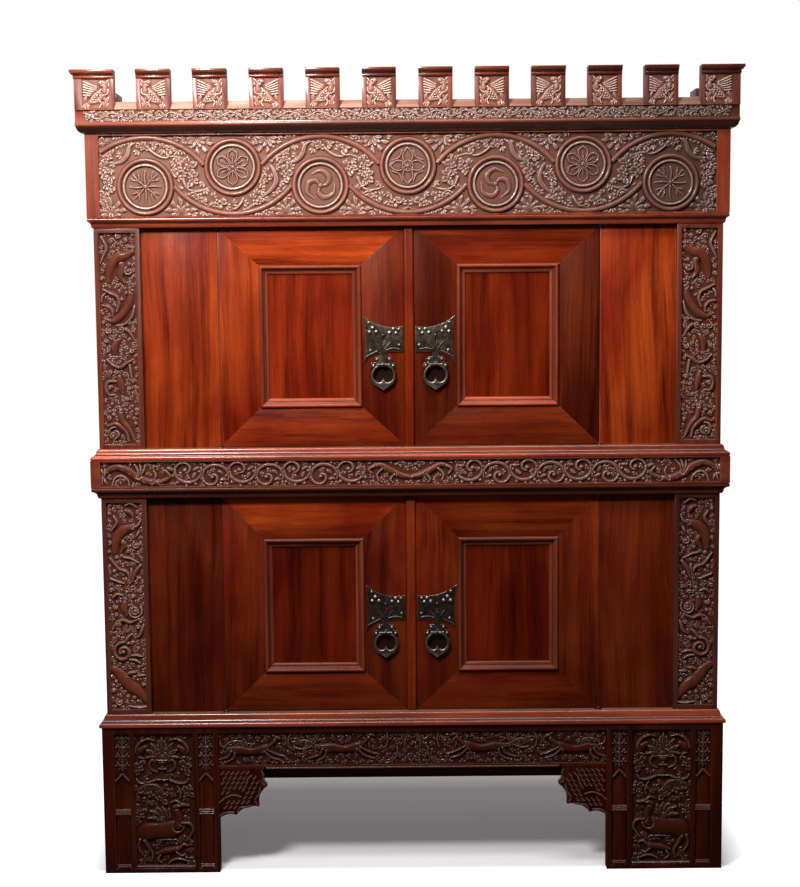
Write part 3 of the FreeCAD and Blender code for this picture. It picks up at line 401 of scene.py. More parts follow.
class Bench:
    """Lengths of wood in millimetres, collected into one mesh."""

    def __init__(self, seed):
        self.points, self.faces, self.boards, self.tones, self.hollows = [], [], [], [], []
        self.chance = np.random.default_rng(seed)

    def skin(self, rings, grain, tone=1.0, hollow=None):
        """Outlines with the same number of points, joined one to the next and closed at both ends."""
        first, count = len(self.points), len(rings[0])
        points = np.array([point for ring in rings for point in ring], float)
        for a in range(first, first + len(points) - count, count):
            for i in range(count):
                j = (i + 1) % count
                self.faces.append([a + i, a + j, a + count + j, a + count + i])
        self.faces.append([first + i for i in range(count)][::-1])
        self.faces.append([first + len(points) - count + i for i in range(count)])
        self.points.extend(points)
        shift = self.chance.uniform(-3, 3, 3)
        share = tone * self.chance.uniform(0.86, 1.14)
        self.boards.extend(points[:, AXES[grain]] / 1000 + shift)
        self.tones.extend([share] * len(points))
        self.hollows.extend(list(hollow or [0.0] * count) * len(rings))

    def box(self, x0, x1, y0, y1, z0, z1, grain, tone=1.0):
        self.skin([[(x0, y0, z), (x1, y0, z), (x1, y1, z), (x0, y1, z)] for z in (z0, z1)], grain, tone)

    def sunk(self, rim, y0, y1, field, depth, grain, tone=1.0):
        """A board whose front has a rectangular field sunk into it; rim and field are (x0, x1, z0, z1)."""
        rings = [(rim, y1), (rim, y0), (field, y0), (field, y0 + depth)]
        self.skin([[(x0, y, z0), (x1, y, z0), (x1, y, z1), (x0, y, z1)] for (x0, x1, z0, z1), y in rings], grain, tone)

    def mesh(self, name):
        mesh = new_mesh(name, self.points, self.faces)
        write_marks(mesh, self.boards, self.tones, hollow=self.hollows)
        return outward(mesh)


print("bench ready")

# %% [markdown]
# Every wooden edge is broken a little by use. A Bevel modifier rounds it, and the rounded faces take a
# second material, lighter as rubbed wood and as a painted highlight line, so both follow the real edges. The result is
# turned into a plain mesh.

# %% Finish a piece and seat it on its body
# edges that turn by more than this many degrees stay crisp: on joinery, and on carving
CRISP, CRISP_CARVING = 34, 80


def settled(piece):
    """The plain mesh that an object shows with its modifiers."""
    bpy.context.view_layer.update()
    return bpy.data.meshes.new_from_object(piece.evaluated_get(bpy.context.evaluated_depsgraph_get()))


def finished(mesh, body, slot, materials, bevel=1.0, segments=2, angle=30, replaces=()):
    piece = bpy.data.objects.new(mesh.name, mesh)
    bpy.context.scene.collection.objects.link(piece)
    mesh.materials.clear()
    for material in materials:
        mesh.materials.append(material)
    if bevel:
        softened = piece.modifiers.new("broken edges", "BEVEL")
        softened.width = bevel / 1000
        softened.segments = segments
        softened.limit_method = "ANGLE"
        softened.angle_limit = math.radians(angle)
        softened.material = len(materials) - 1
        softened.use_clamp_overlap = True
        done = settled(piece)
        piece.modifiers.clear()
        piece.data = done
        done.name = mesh.name
    piece.data.shade_smooth()
    piece.data.set_sharp_from_angle(angle=math.radians(CRISP))
    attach(piece, body)
    if replaces:
        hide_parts(*replaces)
    return piece


def shaded(mesh, axis, stops, shares):
    """The same mesh, its tone changed along an axis: painted light and shade, as the lamps' light falls off along it.
    """
    marks, places = mesh.attributes["tone"].data, np.empty(len(mesh.vertices) * 3, np.float32)
    tones = np.empty(len(mesh.vertices) * 4, np.float32)
    mesh.vertices.foreach_get("co", places)
    marks.foreach_get("color", tones)
    tones.reshape(-1, 4)[:, :3] *= np.interp(places[axis::3], stops, shares)[:, None]
    marks.foreach_set("color", tones)
    return mesh


# painted shade: tones fall to 0.4 towards the right, where the light falls off
TO_RIGHT = (0, (-0.3, 0.6), (1.0, 0.4))
print("tones fade between x", *TO_RIGHT[1], "m")

# %% [markdown]
# Boards that need no new form are copies of the solids. The copy is welded, its flat facets are joined, and every
# loose board in it gets its own grain and tone. A sorting rule can part a frame into its members.

# %% Copies of the solids
# the lower stage and the base are darker partly by stain and partly as painted shade, the light falling off towards the
# floor
LOWER_TONE, UPPER_TONE, BASE_TONE = 0.34, 1.0, 0.15
STAGE_TONES, STAGE_LEVEL = (LOWER_TONE, UPPER_TONE), 1.05


def islands(built):
    """The groups of points that hang together."""
    seen = set()
    for vert in built.verts:
        if vert.index in seen:
            continue
        island, queue = [], [vert]
        seen.add(vert.index)
        while queue:
            here = queue.pop()
            island.append(here)
            for edge in here.link_edges:
                other = edge.other_vert(here)
                if other.index not in seen:
                    seen.add(other.index)
                    queue.append(other)
        yield island


def copied(node, grain, tone, seed, sort=None, shares=()):
    source, welded, faces = solids[node].data, {}, []
    for facet in source.polygons:
        group = sort(facet.center - facet.normal * 0.0002) if sort else grain
        corners = []
        for index in facet.vertices:
            place = tuple(round(v, 5) for v in source.vertices[index].co)
            corners.append(welded.setdefault((group, place), len(welded)))
        if len(set(corners)) == 3:
            faces.append(corners)
    mesh = bpy.data.meshes.new(node + "_dressed")
    mesh.from_pydata([place for group, place in welded], [], faces)
    built = bmesh.new()
    built.from_mesh(mesh)
    member, groups = built.verts.layers.int.new("member"), sorted({group for group, place in welded})
    for vert, (group, place) in zip(built.verts, welded):
        vert[member] = groups.index(group)
    bmesh.ops.dissolve_limit(built, angle_limit=math.radians(0.5), verts=built.verts, edges=built.edges)
    built.verts.index_update()
    chance = np.random.default_rng(seed)
    boards, tones = np.zeros((len(built.verts), 3)), np.zeros(len(built.verts))
    for island in islands(built):
        places, number = np.array([v.co for v in island]), island[0][member]
        indices = [v.index for v in island]
        boards[indices] = places[:, AXES[groups[number][0]]] + chance.uniform(-3, 3, 3)
        base = tone[1] if places[:, 2].mean() > STAGE_LEVEL else tone[0]
        tones[indices] = base * chance.uniform(0.88, 1.12) * (shares[number] if shares else 1.0)
    built.verts.layers.int.remove(member)
    built.to_mesh(mesh)
    built.free()
    write_marks(mesh, boards, tones)
    return mesh


print("stage tones:", STAGE_TONES)

# %% [markdown]
# The plain boards are flanks, sides and uprights outside, and the bare boards, shelves and planks within.
# Grain runs up the flanks, sides, uprights and planks, and along everything else.

# %% Plain boards
PLAIN = [
    ("flank_boards", "z", polished, "polished_walnut", STAGE_TONES),
    ("case_sides", "z", polished, "polished_walnut", STAGE_TONES),
    ("lower_uprights", "z", frame_wood, "carved_walnut", (0.36, 0.36)),
    ("upper_uprights", "z", frame_wood, "carved_walnut", (0.62, 0.62)),
    ("base_sides", "y", polished, "polished_walnut", (BASE_TONE, 1.0)),
    ("base_foot_left", "z", polished, "carved_walnut", (BASE_TONE, 1.0)),
    ("base_foot_right", "z", polished, "carved_walnut", (BASE_TONE, 1.0)),
    ("base_rails", "x", polished, "inner_boards", (0.12, 1.0)),
    ("apron_board", "x", polished, "carved_walnut", (BASE_TONE, 1.0)),
    ("apron_brackets", "z", polished, "carved_walnut", (0.14, 1.0)),
    ("floor_board", "x", bare, "inner_boards", (0.8, 0.8)),
    ("middle_boards", "x", bare, "inner_boards", (0.8, 0.8)),
    ("ceiling_board", "x", bare, "inner_boards", (0.8, 0.8)),
    ("top_board", "x", bare, "inner_boards", (0.7, 0.7)),
    ("back_boards", "z", bare, "inner_boards", (0.75, 0.75)),
    ("shelves", "x", bare, "inner_boards", (1.0, 1.0)),
    ("shelf_cleats", "y", bare, "inner_boards", (0.9, 0.9)),
]
for number, (node, grain, material, slot, tone) in enumerate(PLAIN):
    edges = bare if material == bare else worn_and_lit_edge
    finished(copied(node, grain, tone, number), "carcase", slot, (material, edges), 1.0, replaces=(node,))
finished(copied("mullions", "z", (0.60, 0.74), 18), "carcase", "moulded_walnut", (polished, worn_and_lit_edge), 2.6,
         replaces=("mullions",))
print("plain boards:", len(PLAIN) + 1)

# %% [markdown]
# Mouldings run round three sides with mitred corners. Each section is drawn once as shares of its own
# projection and height: a round nose, a fillet, a hollow and a sloped top. The hollow is marked and darkened,
# as grime and as painted shade, which gives the dark line between the two bright ones.

# %% Mouldings
def bow(centre, radii, start, end, steps):
    turns = np.radians(np.linspace(start, end, steps + 1))
    return [(centre[0] + radii[0] * math.cos(t), centre[1] + radii[1] * math.sin(t)) for t in turns]


STEPPED = ([(0.0, 0.0), (0.80, 0.0)] + bow((0.80, 0.18), (0.18, 0.18), -80, 80, 8) + [(0.72, 0.38), (0.70, 0.42)]
           + bow((0.70, 0.74), (0.34, 0.31), 262, 184, 7) + [(0.36, 0.78), (0.34, 0.82)]
           + bow((0.10, 0.78), (0.22, 0.22), 8, 88, 6) + [(0.0, 1.0)])
TURNED_OVER = [(p, 1.0 - s) for p, s in STEPPED][::-1]
COVE = ([(0.0, 0.0), (0.41, 0.0)] + bow((0.36, 0.86), (0.56, 0.78), 278, 352, 8)
        + [(0.94, 0.82), (0.94, 1.0), (0.0, 1.0)])
# the cove under the crest is marked all over, as painted shade
COVE_SHADE = [1.0 if 0.0 < p and s < 0.95 else 0.0 for p, s in COVE]


def surround(bench, section, out, z0, z1, tone, marks=None):
    """Three lengths round the front and the ends, mitred at the front corners."""
    # the marked hollow is darkened: grime and painted shade
    marks = marks or [1.0 if 0.40 < p < 0.72 and 0.42 < z < 0.80 else 0.0 for p, z in section]
    rise = [(p * out, z0 + s * (z1 - z0)) for p, s in section]
    corner = {side: [(side * (HALF + p), FRONT - p, z) for p, z in rise] for side in (-1, 1)}
    bench.skin([corner[-1], corner[1]], "x", tone, marks)
    for side in (-1, 1):
        bench.skin([corner[side], [(side * (HALF + p), REAR, z) for p, z in rise]], "y", tone, marks)


# the upper waist moulding faces up and is paler, as painted light; the lower one faces down and the cove is darker, as
# painted shade
MOULDINGS = [
    ("base_mould", 41, [(STEPPED, 19, BASE_Z, FLOOR_Z, 0.8)], moulded, ("base_moulding",)),
    ("waist_lower_mould", 42, [(TURNED_OVER, 21, LOWER_TOP, WAIST_Z, 0.4)], band, ()),
    ("waist_upper_mould", 49, [(STEPPED, 21, WAIST_TOP, UPPER_FLOOR, 1.7)], moulded, ("waist_mouldings",)),
    ("frieze_moulds", 43, [(TURNED_OVER, 13, UPPER_TOP, FRIEZE_Z, 0.8),
                           (COVE, 32, FRIEZE_TOP, CREST_Z, 0.4, COVE_SHADE)], moulded, ("frieze_mouldings",)),
]
for name, seed, runs, wood, solid in MOULDINGS:
    bench = Bench(seed)
    for run in runs:
        surround(bench, *run)
    mesh = bench.mesh(name)
    if name == "waist_upper_mould":
        shaded(mesh, *TO_RIGHT)
    finished(mesh, "carcase", "moulded_walnut", (wood, worn_and_lit_edge), 0, replaces=solid)
print("mouldings:", len(MOULDINGS))

# %% [markdown]
# The waist and the frieze are boards with a sunk field for the carving, and plain boards return along the ends.

# %% Boards of the waist and the frieze
WAIST_FIELD = (-786, 786, WAIST_Z + 3.5, WAIST_TOP - 3.5)
FRIEZE_FIELD = (-770, 770, FRIEZE_Z + 4, FRIEZE_TOP - 3)
BANDS = [("waist", 44, 811, 766, -249, -204, WAIST_Z, WAIST_TOP, WAIST_FIELD, 8, "x", 0.62, 0.7, frame_wood),
         ("frieze", 45, 803, 773, -241, -211, FRIEZE_Z, FRIEZE_TOP, FRIEZE_FIELD, 10, "z", 0.9, 1.0, band)]
for name, seed, outer, inner, y0, y1, z0, z1, field, depth, grain, tone, end_tone, wood in BANDS:
    bench = Bench(seed)
    bench.sunk((-outer, outer, z0, z1), y0, y1, field, depth, grain, tone)
    for side in (-1, 1):
        bench.box(*sorted((side * inner, side * outer)), y1, REAR, z0, z1, "y", end_tone)
    finished(bench.mesh(name + "_boards"), "carcase", "carved_walnut", (wood, worn_and_lit_edge), 0.8,
             replaces=(name + "_board",))
print("bands:", len(BANDS))

# %% [markdown]
# The crest is a rail with a sunk strip and a sloped sill, painted pale as a painted highlight where it faces up, and
# the merlons stand on it. Two wide ones turn the corners, ten stand between them, and three more follow along each end.

# %% Crest and merlons
CREST_HALF, CORNER_IN, CORNER_BACK, MERLON, INNER, ALONG = 822, 724, -162, 84, 10, 3
END_IN, END_OUT = 796, 820
SILL_Z, SILL_FALL, CREST_FACE, CREST_BACK = CREST_Z + 60, 20.0, -260.0, -234.0
STRIP_Z, STRIP_TOP, STRIP_DEPTH, MERLON_Z = CREST_Z + 10, CREST_Z + 39, -7, SILL_Z - SILL_FALL
gap = (2 * CORNER_IN - INNER * MERLON) / (INNER + 1)
starts = [-CORNER_IN + gap + i * (MERLON + gap) for i in range(INNER)]
MERLONS = [(-CREST_HALF, -CORNER_IN)] + [(x, x + MERLON) for x in starts] + [(CORNER_IN, CREST_HALF)]
side_gap = (REAR - CORNER_BACK - ALONG * MERLON) / ALONG
starts = [side_gap + i * (MERLON + side_gap) for i in range(ALONG)]
SIDE_MERLONS = [(CORNER_BACK + y, CORNER_BACK + MERLON + y) for y in starts]


def merlon_field(x0, x1):
    """The sunk field of a merlon in the front; the corner ones have a broad outer edge."""
    left, right = (20 if x0 == -CREST_HALF else 11), (20 if x1 == CREST_HALF else 11)
    return x0 + left, x1 - right, MERLON_Z + 0.6, CAP_Z - 0.6


def crest_line(x, line):
    return [(x, CREST_FACE - p, z) for p, z in line]


rail = ([(0, CREST_Z)] + bow((-2, CREST_Z + 4), (2, 4), -80, 90, 6)
        + [(-2, STRIP_Z), (STRIP_DEPTH, STRIP_Z), (STRIP_DEPTH, STRIP_TOP), (-2, STRIP_TOP), (-2, MERLON_Z),
           (-22, SILL_Z), (-26, SILL_Z), (-26, CREST_Z)])
bench = Bench(46)
bench.skin([crest_line(-CREST_HALF, rail), crest_line(CREST_HALF, rail)], "x", 1.2)
finished(shaded(bench.mesh("crest_rail"), *TO_RIGHT), "carcase", "carved_walnut", (crest_wood,), 0.9)
sill = [(-4, MERLON_Z - 2), (-2.2, MERLON_Z + 0.5), (-21.5, SILL_Z + 0.4), (-21.5, SILL_Z - 3)]
bench = Bench(51)
for (_, x0), (x1, _) in zip(MERLONS, MERLONS[1:]):
    bench.skin([crest_line(x0 + 0.3, sill), crest_line(x1 - 0.3, sill)], "x", 1.0)
finished(shaded(bench.mesh("crest_sills"), *TO_RIGHT), "carcase", "carved_walnut", (lit_sill_wood,), 0)
bench = Bench(50)
for x0, x1 in MERLONS:
    bench.sunk((x0, x1, MERLON_Z, CAP_Z), CREST_FACE + 2, CREST_BACK, merlon_field(x0, x1), 5, "z", 1.15)
side_rail = [(p, z) for p, z in rail if p != STRIP_DEPTH]
for side in (-1, 1):
    bench.skin([[(side * (CREST_HALF + p), y, z) for p, z in side_rail] for y in (CREST_BACK, REAR)], "y", 1.0)
    for y0, y1 in [(CREST_BACK, CORNER_BACK)] + SIDE_MERLONS:
        bench.box(*sorted((side * END_IN, side * END_OUT)), y0, y1, MERLON_Z, CAP_Z, "z", 1.0)
finished(shaded(bench.mesh("crest"), *TO_RIGHT), "carcase", "carved_walnut", (crest_wood,), 0.9,
         replaces=("crest_boards",))
print("merlons:", len(MERLONS), "in front,", 2 * len(SIDE_MERLONS), "along the ends")

# %% [markdown]
# What repeats is grown by geometry nodes from a start mesh. A modifier is given the tree and its named inputs, and
# the result is turned into a plain mesh, as it was for the bevels.

# %% Helpers for geometry nodes
def new_nodes(name, inputs):
    """A group of geometry nodes."""
    return new_group(name, "GeometryNodeTree", {"Geometry": GEOMETRY, **inputs}, {"Geometry": GEOMETRY})


def grown(name, mesh, tree, values):
    """The plain mesh that a node tree makes from a start mesh."""
    holder = bpy.data.objects.new(name, mesh)
    bpy.context.scene.collection.objects.link(holder)
    modifier = holder.modifiers.new(tree.name, "NODES")
    modifier.node_group = tree
    for label, value in values.items():
        modifier[tree.interface.items_tree[label].identifier] = value
    made = settled(holder)
    made.name = name
    bpy.data.objects.remove(holder)
    return made


def named(tree, name, kind):
    return add(tree, "GeometryNodeInputNamedAttribute", {0: name}, data_type=kind)[0]


def handed_on(tree, geometry, given, out):
    """Geometry with its finish, sent to the end of a node tree."""
    painted = add(tree, "GeometryNodeSetMaterial", {"Geometry": geometry, "Material": given["Finish"]})[0]
    tree.links.new(painted, out.inputs[0])


print("geometry node helpers ready")

# %% [markdown]
# A cap with a nose and a hollow sits on every merlon. Most are the same short length, so a small node tree
# sets one modelled cap on a point for each merlon, turns it along the ends, and gives each its own grain.
# The two corner caps are mitred lengths from the bench.

# %% Caps on the merlons
CAP_OVER, CAP_SEAT, CAP_FACE, CAP_SIDE, CAP_TONE = 11.0, 24.0, CREST_FACE + 2, END_OUT, 0.85
CAP = ([(0.20, 0.0)] + bow((0.20, 0.15), (0.14, 0.15), -80, 80, 6) + [(0.24, 0.36)]
       + bow((0.20, 0.70), (0.62, 0.34), 282, 346, 6) + [(0.97, 0.68), (1.0, 0.72), (1.0, 0.97), (0.97, 1.0)])
cap_line = [(-CAP_SEAT, CAP_Z)] + [(p * CAP_OVER, CAP_Z + s * (TOP_Z - CAP_Z)) for p, s in CAP] + [(-CAP_SEAT, TOP_Z)]
# the hollow under each cap's nose is darkened: grime and painted shade
cap_shade_and_grime = [1.0 if 0.0 < p < 0.8 * CAP_OVER and CAP_Z + 7 < z < CAP_Z + 17 else 0.0 for p, z in cap_line]
bench = Bench(47)
bench.skin([[(x, -p, z) for p, z in cap_line] for x in (0, MERLON)], "x", CAP_TONE, cap_shade_and_grime)
one_cap = bpy.data.objects.new("one_cap", bench.mesh("one_cap"))
row, given, out = new_nodes("row of caps", {"Cap": OBJECT, "Finish": MATERIAL, "Seed": "NodeSocketInt"})
spin = add(row, "ShaderNodeCombineXYZ", {2: named(row, "turn", "FLOAT")})[0]
shape = add(row, "GeometryNodeObjectInfo", {0: given["Cap"]})["Geometry"]
placed = add(row, "GeometryNodeInstanceOnPoints", {"Points": given["Geometry"], "Instance": shape, "Rotation": spin})[0]
chance = add(row, "FunctionNodeRandomValue", {0: (-3, -3, -3), 1: (3, 3, 3), "Seed": given["Seed"]},
             data_type="FLOAT_VECTOR")[0]
marked = add(row, "GeometryNodeStoreNamedAttribute", {"Geometry": placed, "Name": "shift", "Value": chance},
             data_type="FLOAT_VECTOR", domain="INSTANCE")[0]
solid = add(row, "GeometryNodeRealizeInstances", {0: marked})[0]
own, shift = (named(row, name, "FLOAT_VECTOR") for name in ("board", "shift"))
moved = add(row, "ShaderNodeVectorMath", {0: own, 1: shift}, operation="ADD")[0]
grained = add(row, "GeometryNodeStoreNamedAttribute", {"Geometry": solid, "Name": "board", "Value": moved},
              data_type="FLOAT_VECTOR", domain="POINT")[0]
handed_on(row, grained, given, out)
seats = [((x0, CAP_FACE, 0), 0.0) for x0, x1 in MERLONS[1:-1]]
seats += [((CAP_SIDE, y0, 0), math.pi / 2) for y0, y1 in SIDE_MERLONS]
seats += [((-CAP_SIDE, y1, 0), -math.pi / 2) for y0, y1 in SIDE_MERLONS]
points = new_mesh("cap_seats", [place for place, angle in seats])
points.attributes.new("turn", "FLOAT", "POINT").data.foreach_set("value", [angle for place, angle in seats])
row_mesh = grown("cap_row", points, row, {"Cap": one_cap, "Finish": moulded, "Seed": 7})
finished(shaded(row_mesh, *TO_RIGHT), "carcase", "moulded_walnut", (moulded, worn_and_lit_edge), 0.6)

bench = Bench(48)
for side in (-1, 1):
    near = [(side * CORNER_IN, CAP_FACE - p, z) for p, z in cap_line]
    tip = [(side * (CAP_SIDE + p), CAP_FACE - p, z) for p, z in cap_line]
    far = [(side * (CAP_SIDE + p), CORNER_BACK, z) for p, z in cap_line]
    bench.skin([near, tip], "x", CAP_TONE, cap_shade_and_grime)
    bench.skin([tip, far], "y", CAP_TONE, cap_shade_and_grime)
finished(shaded(bench.mesh("corner_caps"), *TO_RIGHT), "carcase", "moulded_walnut", (moulded, worn_and_lit_edge), 0.6,
         replaces=("merlon_caps",))
print("caps:", len(seats), "on points and 2 at the corners,", len(row_mesh.polygons), "faces")

# %% [markdown]
# Each door is a mitred frame with a sunk panel. The frame is a copy of the solid, sorted into its four members
# by the mitre lines, so that the grain runs up the stiles and along the rails and each member has its own tone.
# The moulding that covers the joint has a fuller section than the solid: a bead, a hollow and a quarter round
# down to the panel.

# %% Door frames, panels and mouldings
DOOR_IN, DOOR_OUT, LOCK_STILE, HINGE_STILE, LAP, PANEL = 13.0, 483.0, 108.0, 104.0, 4.0, -8.0
# foot and top of the doors, widths of the bottom and top rails, height of the locks, tone
STAGES = {"lower": (423.0, 983.0, 101.0, 109.0, 691.0, LOWER_TONE),
          "upper": (1113.0, 1666.0, 99.0, 94.0, 1383.0, UPPER_TONE)}
HANDS = (("left", -1), ("right", 1))
# how pale each member is: bottom rail, top rail, hinge stile, lock stile; besides the wood's own tone these
# carry painted light and shade, lighter where the lamps fall and darker on the upper right door
MEMBERS = {"lower_left": (1.1, 1.9, 1.08, 1.0), "lower_right": (1.4, 1.05, 1.08, 1.2),
           "upper_left": (0.68, 1.25, 1.0, 0.50), "upper_right": (0.46, 0.72, 0.34, 0.26)}
# the right-hand panels are darker as painted shade
PANEL_TONES = {"left": (LOWER_TONE * 0.85, 0.66), "right": (LOWER_TONE * 0.85, 0.42)}
PANEL_EDGE = ([(4.0, PANEL), (4.0, 0.0), (0.0, 0.0), (0.0, 2.0)] + bow((4.6, 2.4), (4.6, 4.6), 180, 15, 10)
              + bow((15.5, 4.2), (6.0, 6.2), 190, 262, 6) + [(15.0, -2.4), (16.4, -2.4)]
              + bow((16.4, PANEL), (6.6, 5.2), 90, 4, 6) + [(23.0, PANEL)])


def edge_shade_and_grime(u, h):
    """How much painted shade and grime lies at a point of the panel moulding's section."""
    if 13.0 < u < 16.3 and h < 0 or u > 22.8 or u == 0 and h < 1:
        return 0.85
    return 0.3 if 9.5 < u < 13.1 else 0.0


def member_of(low, high, bottom, top):
    """A rule that tells which member of a door frame a point lies in."""
    def sort(point):
        across, up = abs(point[0]) * 1000, point[2] * 1000
        shares = {"z lock stile": (across - DOOR_IN) / (LOCK_STILE + LAP),
                  "z hinge stile": (DOOR_OUT - across) / (HINGE_STILE + LAP),
                  "x bottom rail": (up - low) / (bottom + LAP), "x top rail": (high - up) / (top + LAP)}
        return min(shares, key=shares.get)
    return sort


def edge_corner(side, hinge, up, low, high, bottom, top):
    """The section of the panel moulding at one corner of a panel."""
    return [(side * (DOOR_OUT - HINGE_STILE - u if hinge else DOOR_IN + LOCK_STILE + u), FACE - h,
             high - top - u if up else low + bottom + u) for u, h in PANEL_EDGE]


for stage, (*sizes, lock, tone) in STAGES.items():
    for hand, side in HANDS:
        name = stage + "_" + hand
        body, seed = name + "_door", 60 + len(name) + (side + 1) * 3
        frame_mesh = copied(name + "_frame", "z", STAGE_TONES, seed, member_of(*sizes), MEMBERS[name])
        if stage == "lower":
            # painted light: the lower frames grow lighter towards their top
            shaded(frame_mesh, 2, (0.50, 0.90, 0.98), (0.9, 1.0, 1.7))
        finished(frame_mesh, body, "polished_walnut", (polished, worn_and_lit_edge), 0.7, replaces=(name + "_frame",))
        panel_mesh = copied(name + "_panel", "z", PANEL_TONES[hand], seed + 1)
        finished(panel_mesh, body, "polished_walnut", (panel_wood, worn_and_lit_edge), 0, replaces=(name + "_panel",))
        bench, grime_and_shade = Bench(seed + 2), [edge_shade_and_grime(u, h) for u, h in PANEL_EDGE]
        corners = [edge_corner(side, *turn, *sizes) for turn in ((0, 0), (1, 0), (1, 1), (0, 1))]
        # the bottom length faces up and is paler, as painted light
        for i, grain in enumerate("xzxz"):
            bench.skin([corners[i], corners[(i + 1) % 4]], grain, tone ** 0.35 * (1.0 if i else 1.6), grime_and_shade)
        finished(bench.mesh(name + "_panel_edge"), body, "moulded_walnut", (band, worn_and_lit_edge), 0,
                 replaces=(name + "_moulding",))
print("doors:", 2 * len(STAGES), "framed and panelled")

# %% [markdown]
# The ring pull is drawn afresh as a loop of round section, with a pointed foot, a cusp inside and a straight pivot
# between two knuckles.

# %% A ring pull
RING_AT, RING_FALL, RING_R, RING_BAND, RING_PROUD, RING_FOOT = 66.5, 63.5, 31.0, 5.0, -220.0, 45
PIVOT_HALF, KNUCKLE_END, PIVOT_UP = 10.0, 14.0, 28.6
# inner edge, outer edge and half thickness of the pivot and its knuckles, and the loop's half thickness
PIVOT, KNUCKLE, LOOP_THICK = (25.95, 31.05, 2.55), (24.0, 31.6, 3.4), 3.4
# angle away from the foot and the ring's inner edge there
CUSP = ((0, 10, 20, 32, 46, 60, 80, 100, 180), (3.5, 9.0, 14.5, 19.0, 21.6, 23.4, 25.2, 26.0, 26.0))


def from_foot(turn):
    """Degrees between a direction and the foot of the ring."""
    fold = (turn + 90) % 360
    return min(fold, 360 - fold)


def reach(turn, radius, start, tip):
    """Distance from the ring's middle to a circle that runs straight into a point at its foot."""
    fold = from_foot(turn)
    if fold >= start:
        return radius
    a = np.array([radius * math.sin(math.radians(start)), -radius * math.cos(math.radians(start))])
    run = np.array([0.0, tip]) - a
    ray = np.array([math.sin(math.radians(fold)), -math.cos(math.radians(fold))])
    return (a[0] * run[1] - a[1] * run[0]) / (ray[0] * run[1] - ray[1] * run[0])


def bulged(value):
    return math.copysign(abs(value) ** 0.75, value)


def ring_mesh(name, x, z):
    edges = [math.degrees(math.asin(v / PIVOT_UP)) for v in (PIVOT_HALF, KNUCKLE_END)]
    turns = sorted({round(t, 3) for t in list(np.arange(0, 360, 4.5))
                    + [90 + s * (e + d) for s in (-1, 1) for e in edges for d in (-0.6, 0.6)]})
    section = np.radians(np.arange(0, 360, 22.5))
    points = []
    for turn in turns:
        t, away = math.radians(turn), abs(turn - 90)
        if away < edges[1]:
            inner, outer, thick = PIVOT if away < edges[0] else KNUCKLE
            inner, outer = inner / math.sin(t), outer / math.sin(t)
        else:
            inner, thick = np.interp(from_foot(turn), *CUSP), LOOP_THICK
            outer = reach(turn, RING_R, RING_FOOT, -RING_R - 6)
        for a in section:
            r = (outer + inner) / 2 + (outer - inner) / 2 * bulged(math.cos(a))
            points.append((x + r * math.cos(t), RING_PROUD + thick * bulged(math.sin(a)), z + r * math.sin(t)))
    index = np.arange(len(points)).reshape(len(turns), len(section))
    after, ahead = np.roll(index, -1, 1), np.roll(index, -1, 0)
    faces = np.stack([index, after, np.roll(ahead, -1, 1), ahead], 2).reshape(-1, 4).tolist()
    mesh = outward(new_mesh(name, points, faces))
    # painted highlight and rubbing on the ring's inner and outer edges
    lift = np.tile(np.abs(np.cos(section)), len(turns))
    write_marks(mesh, np.array(points) / 1000, np.ones(len(points)), ridge=lift * 0.8)
    return mesh


print("ring:", 2 * RING_R, "mm wide")

# %% [markdown]
# The rest of the ironwork is forged too: plates with a filed edge, hinge leaves with rolled eyes, a lock box and its
# bolt behind. Those are copies of the solids with the edges filed round.

# %% Plates, hinges, locks and rings
def iron_copy(node):
    return copied(node, "x", (1.0, 1.0), 9)


for stage, (*_, lock, tone) in STAGES.items():
    for hand, side in HANDS:
        name, metal = stage + "_" + hand, (iron_low if stage == "lower" else iron, iron_edge)
        for part, edge in (("_lock_plate", 1.3), ("_lock_case", 0.6), ("_hinge_leaves", 0.6)):
            finished(iron_copy(name + part), name + "_door", "forged_iron", metal, edge, 3, 40, (name + part,))
        finished(iron_copy(name + "_lock_bolt"), name + "_bolt", "forged_iron", metal, 0.5,
                 replaces=(name + "_lock_bolt",))
        loop = ring_mesh(name + "_ring_loop", side * RING_AT, lock - RING_FALL - RING_R + RING_BAND / 2)
        finished(loop, name + "_ring", "forged_iron", metal[:1], 0, replaces=(name + "_ring_pull",))
finished(iron_copy("hinge_plates"), "carcase", "forged_iron", (iron, iron_edge), 0.5, replaces=("hinge_plates",))
print("ironwork: 4 locks, 4 rings, 8 hinges")

# %% [markdown]
# The carving is low relief: flat-backed foliage, scrolls and beasts standing a few millimetres over a sunk ground.
# Modelling each leaf as its own object would give thousands of pieces, so each field is carved as a height map, the
# way a carver works down from the face: strokes and bosses are laid on a fine square mesh, and the map becomes one
# closed mesh. The marks for grime, rubbing and red forms come from the same map.

# %% A carver's board
def smooth_path(points, steps=7):
    """Points along a smooth curve through the given ones."""
    p = np.array(points, float)
    if len(p) == 2:
        return np.linspace(p[0], p[1], steps + 1)
    p = np.vstack([2 * p[0] - p[1], p, 2 * p[-1] - p[-2]])
    t = np.linspace(0, 1, steps, endpoint=False)[:, None]
    spans = [0.5 * (2 * b + (c - a) * t + (2 * a - 5 * b + 4 * c - d) * t ** 2 + (3 * b - a - 3 * c + d) * t ** 3)
             for a, b, c, d in zip(p[:-3], p[1:-2], p[2:-1], p[3:])]
    return np.vstack(spans + [p[-2:-1]])


def polar(x, z, turn, away):
    return x + math.cos(turn) * away, z + math.sin(turn) * away


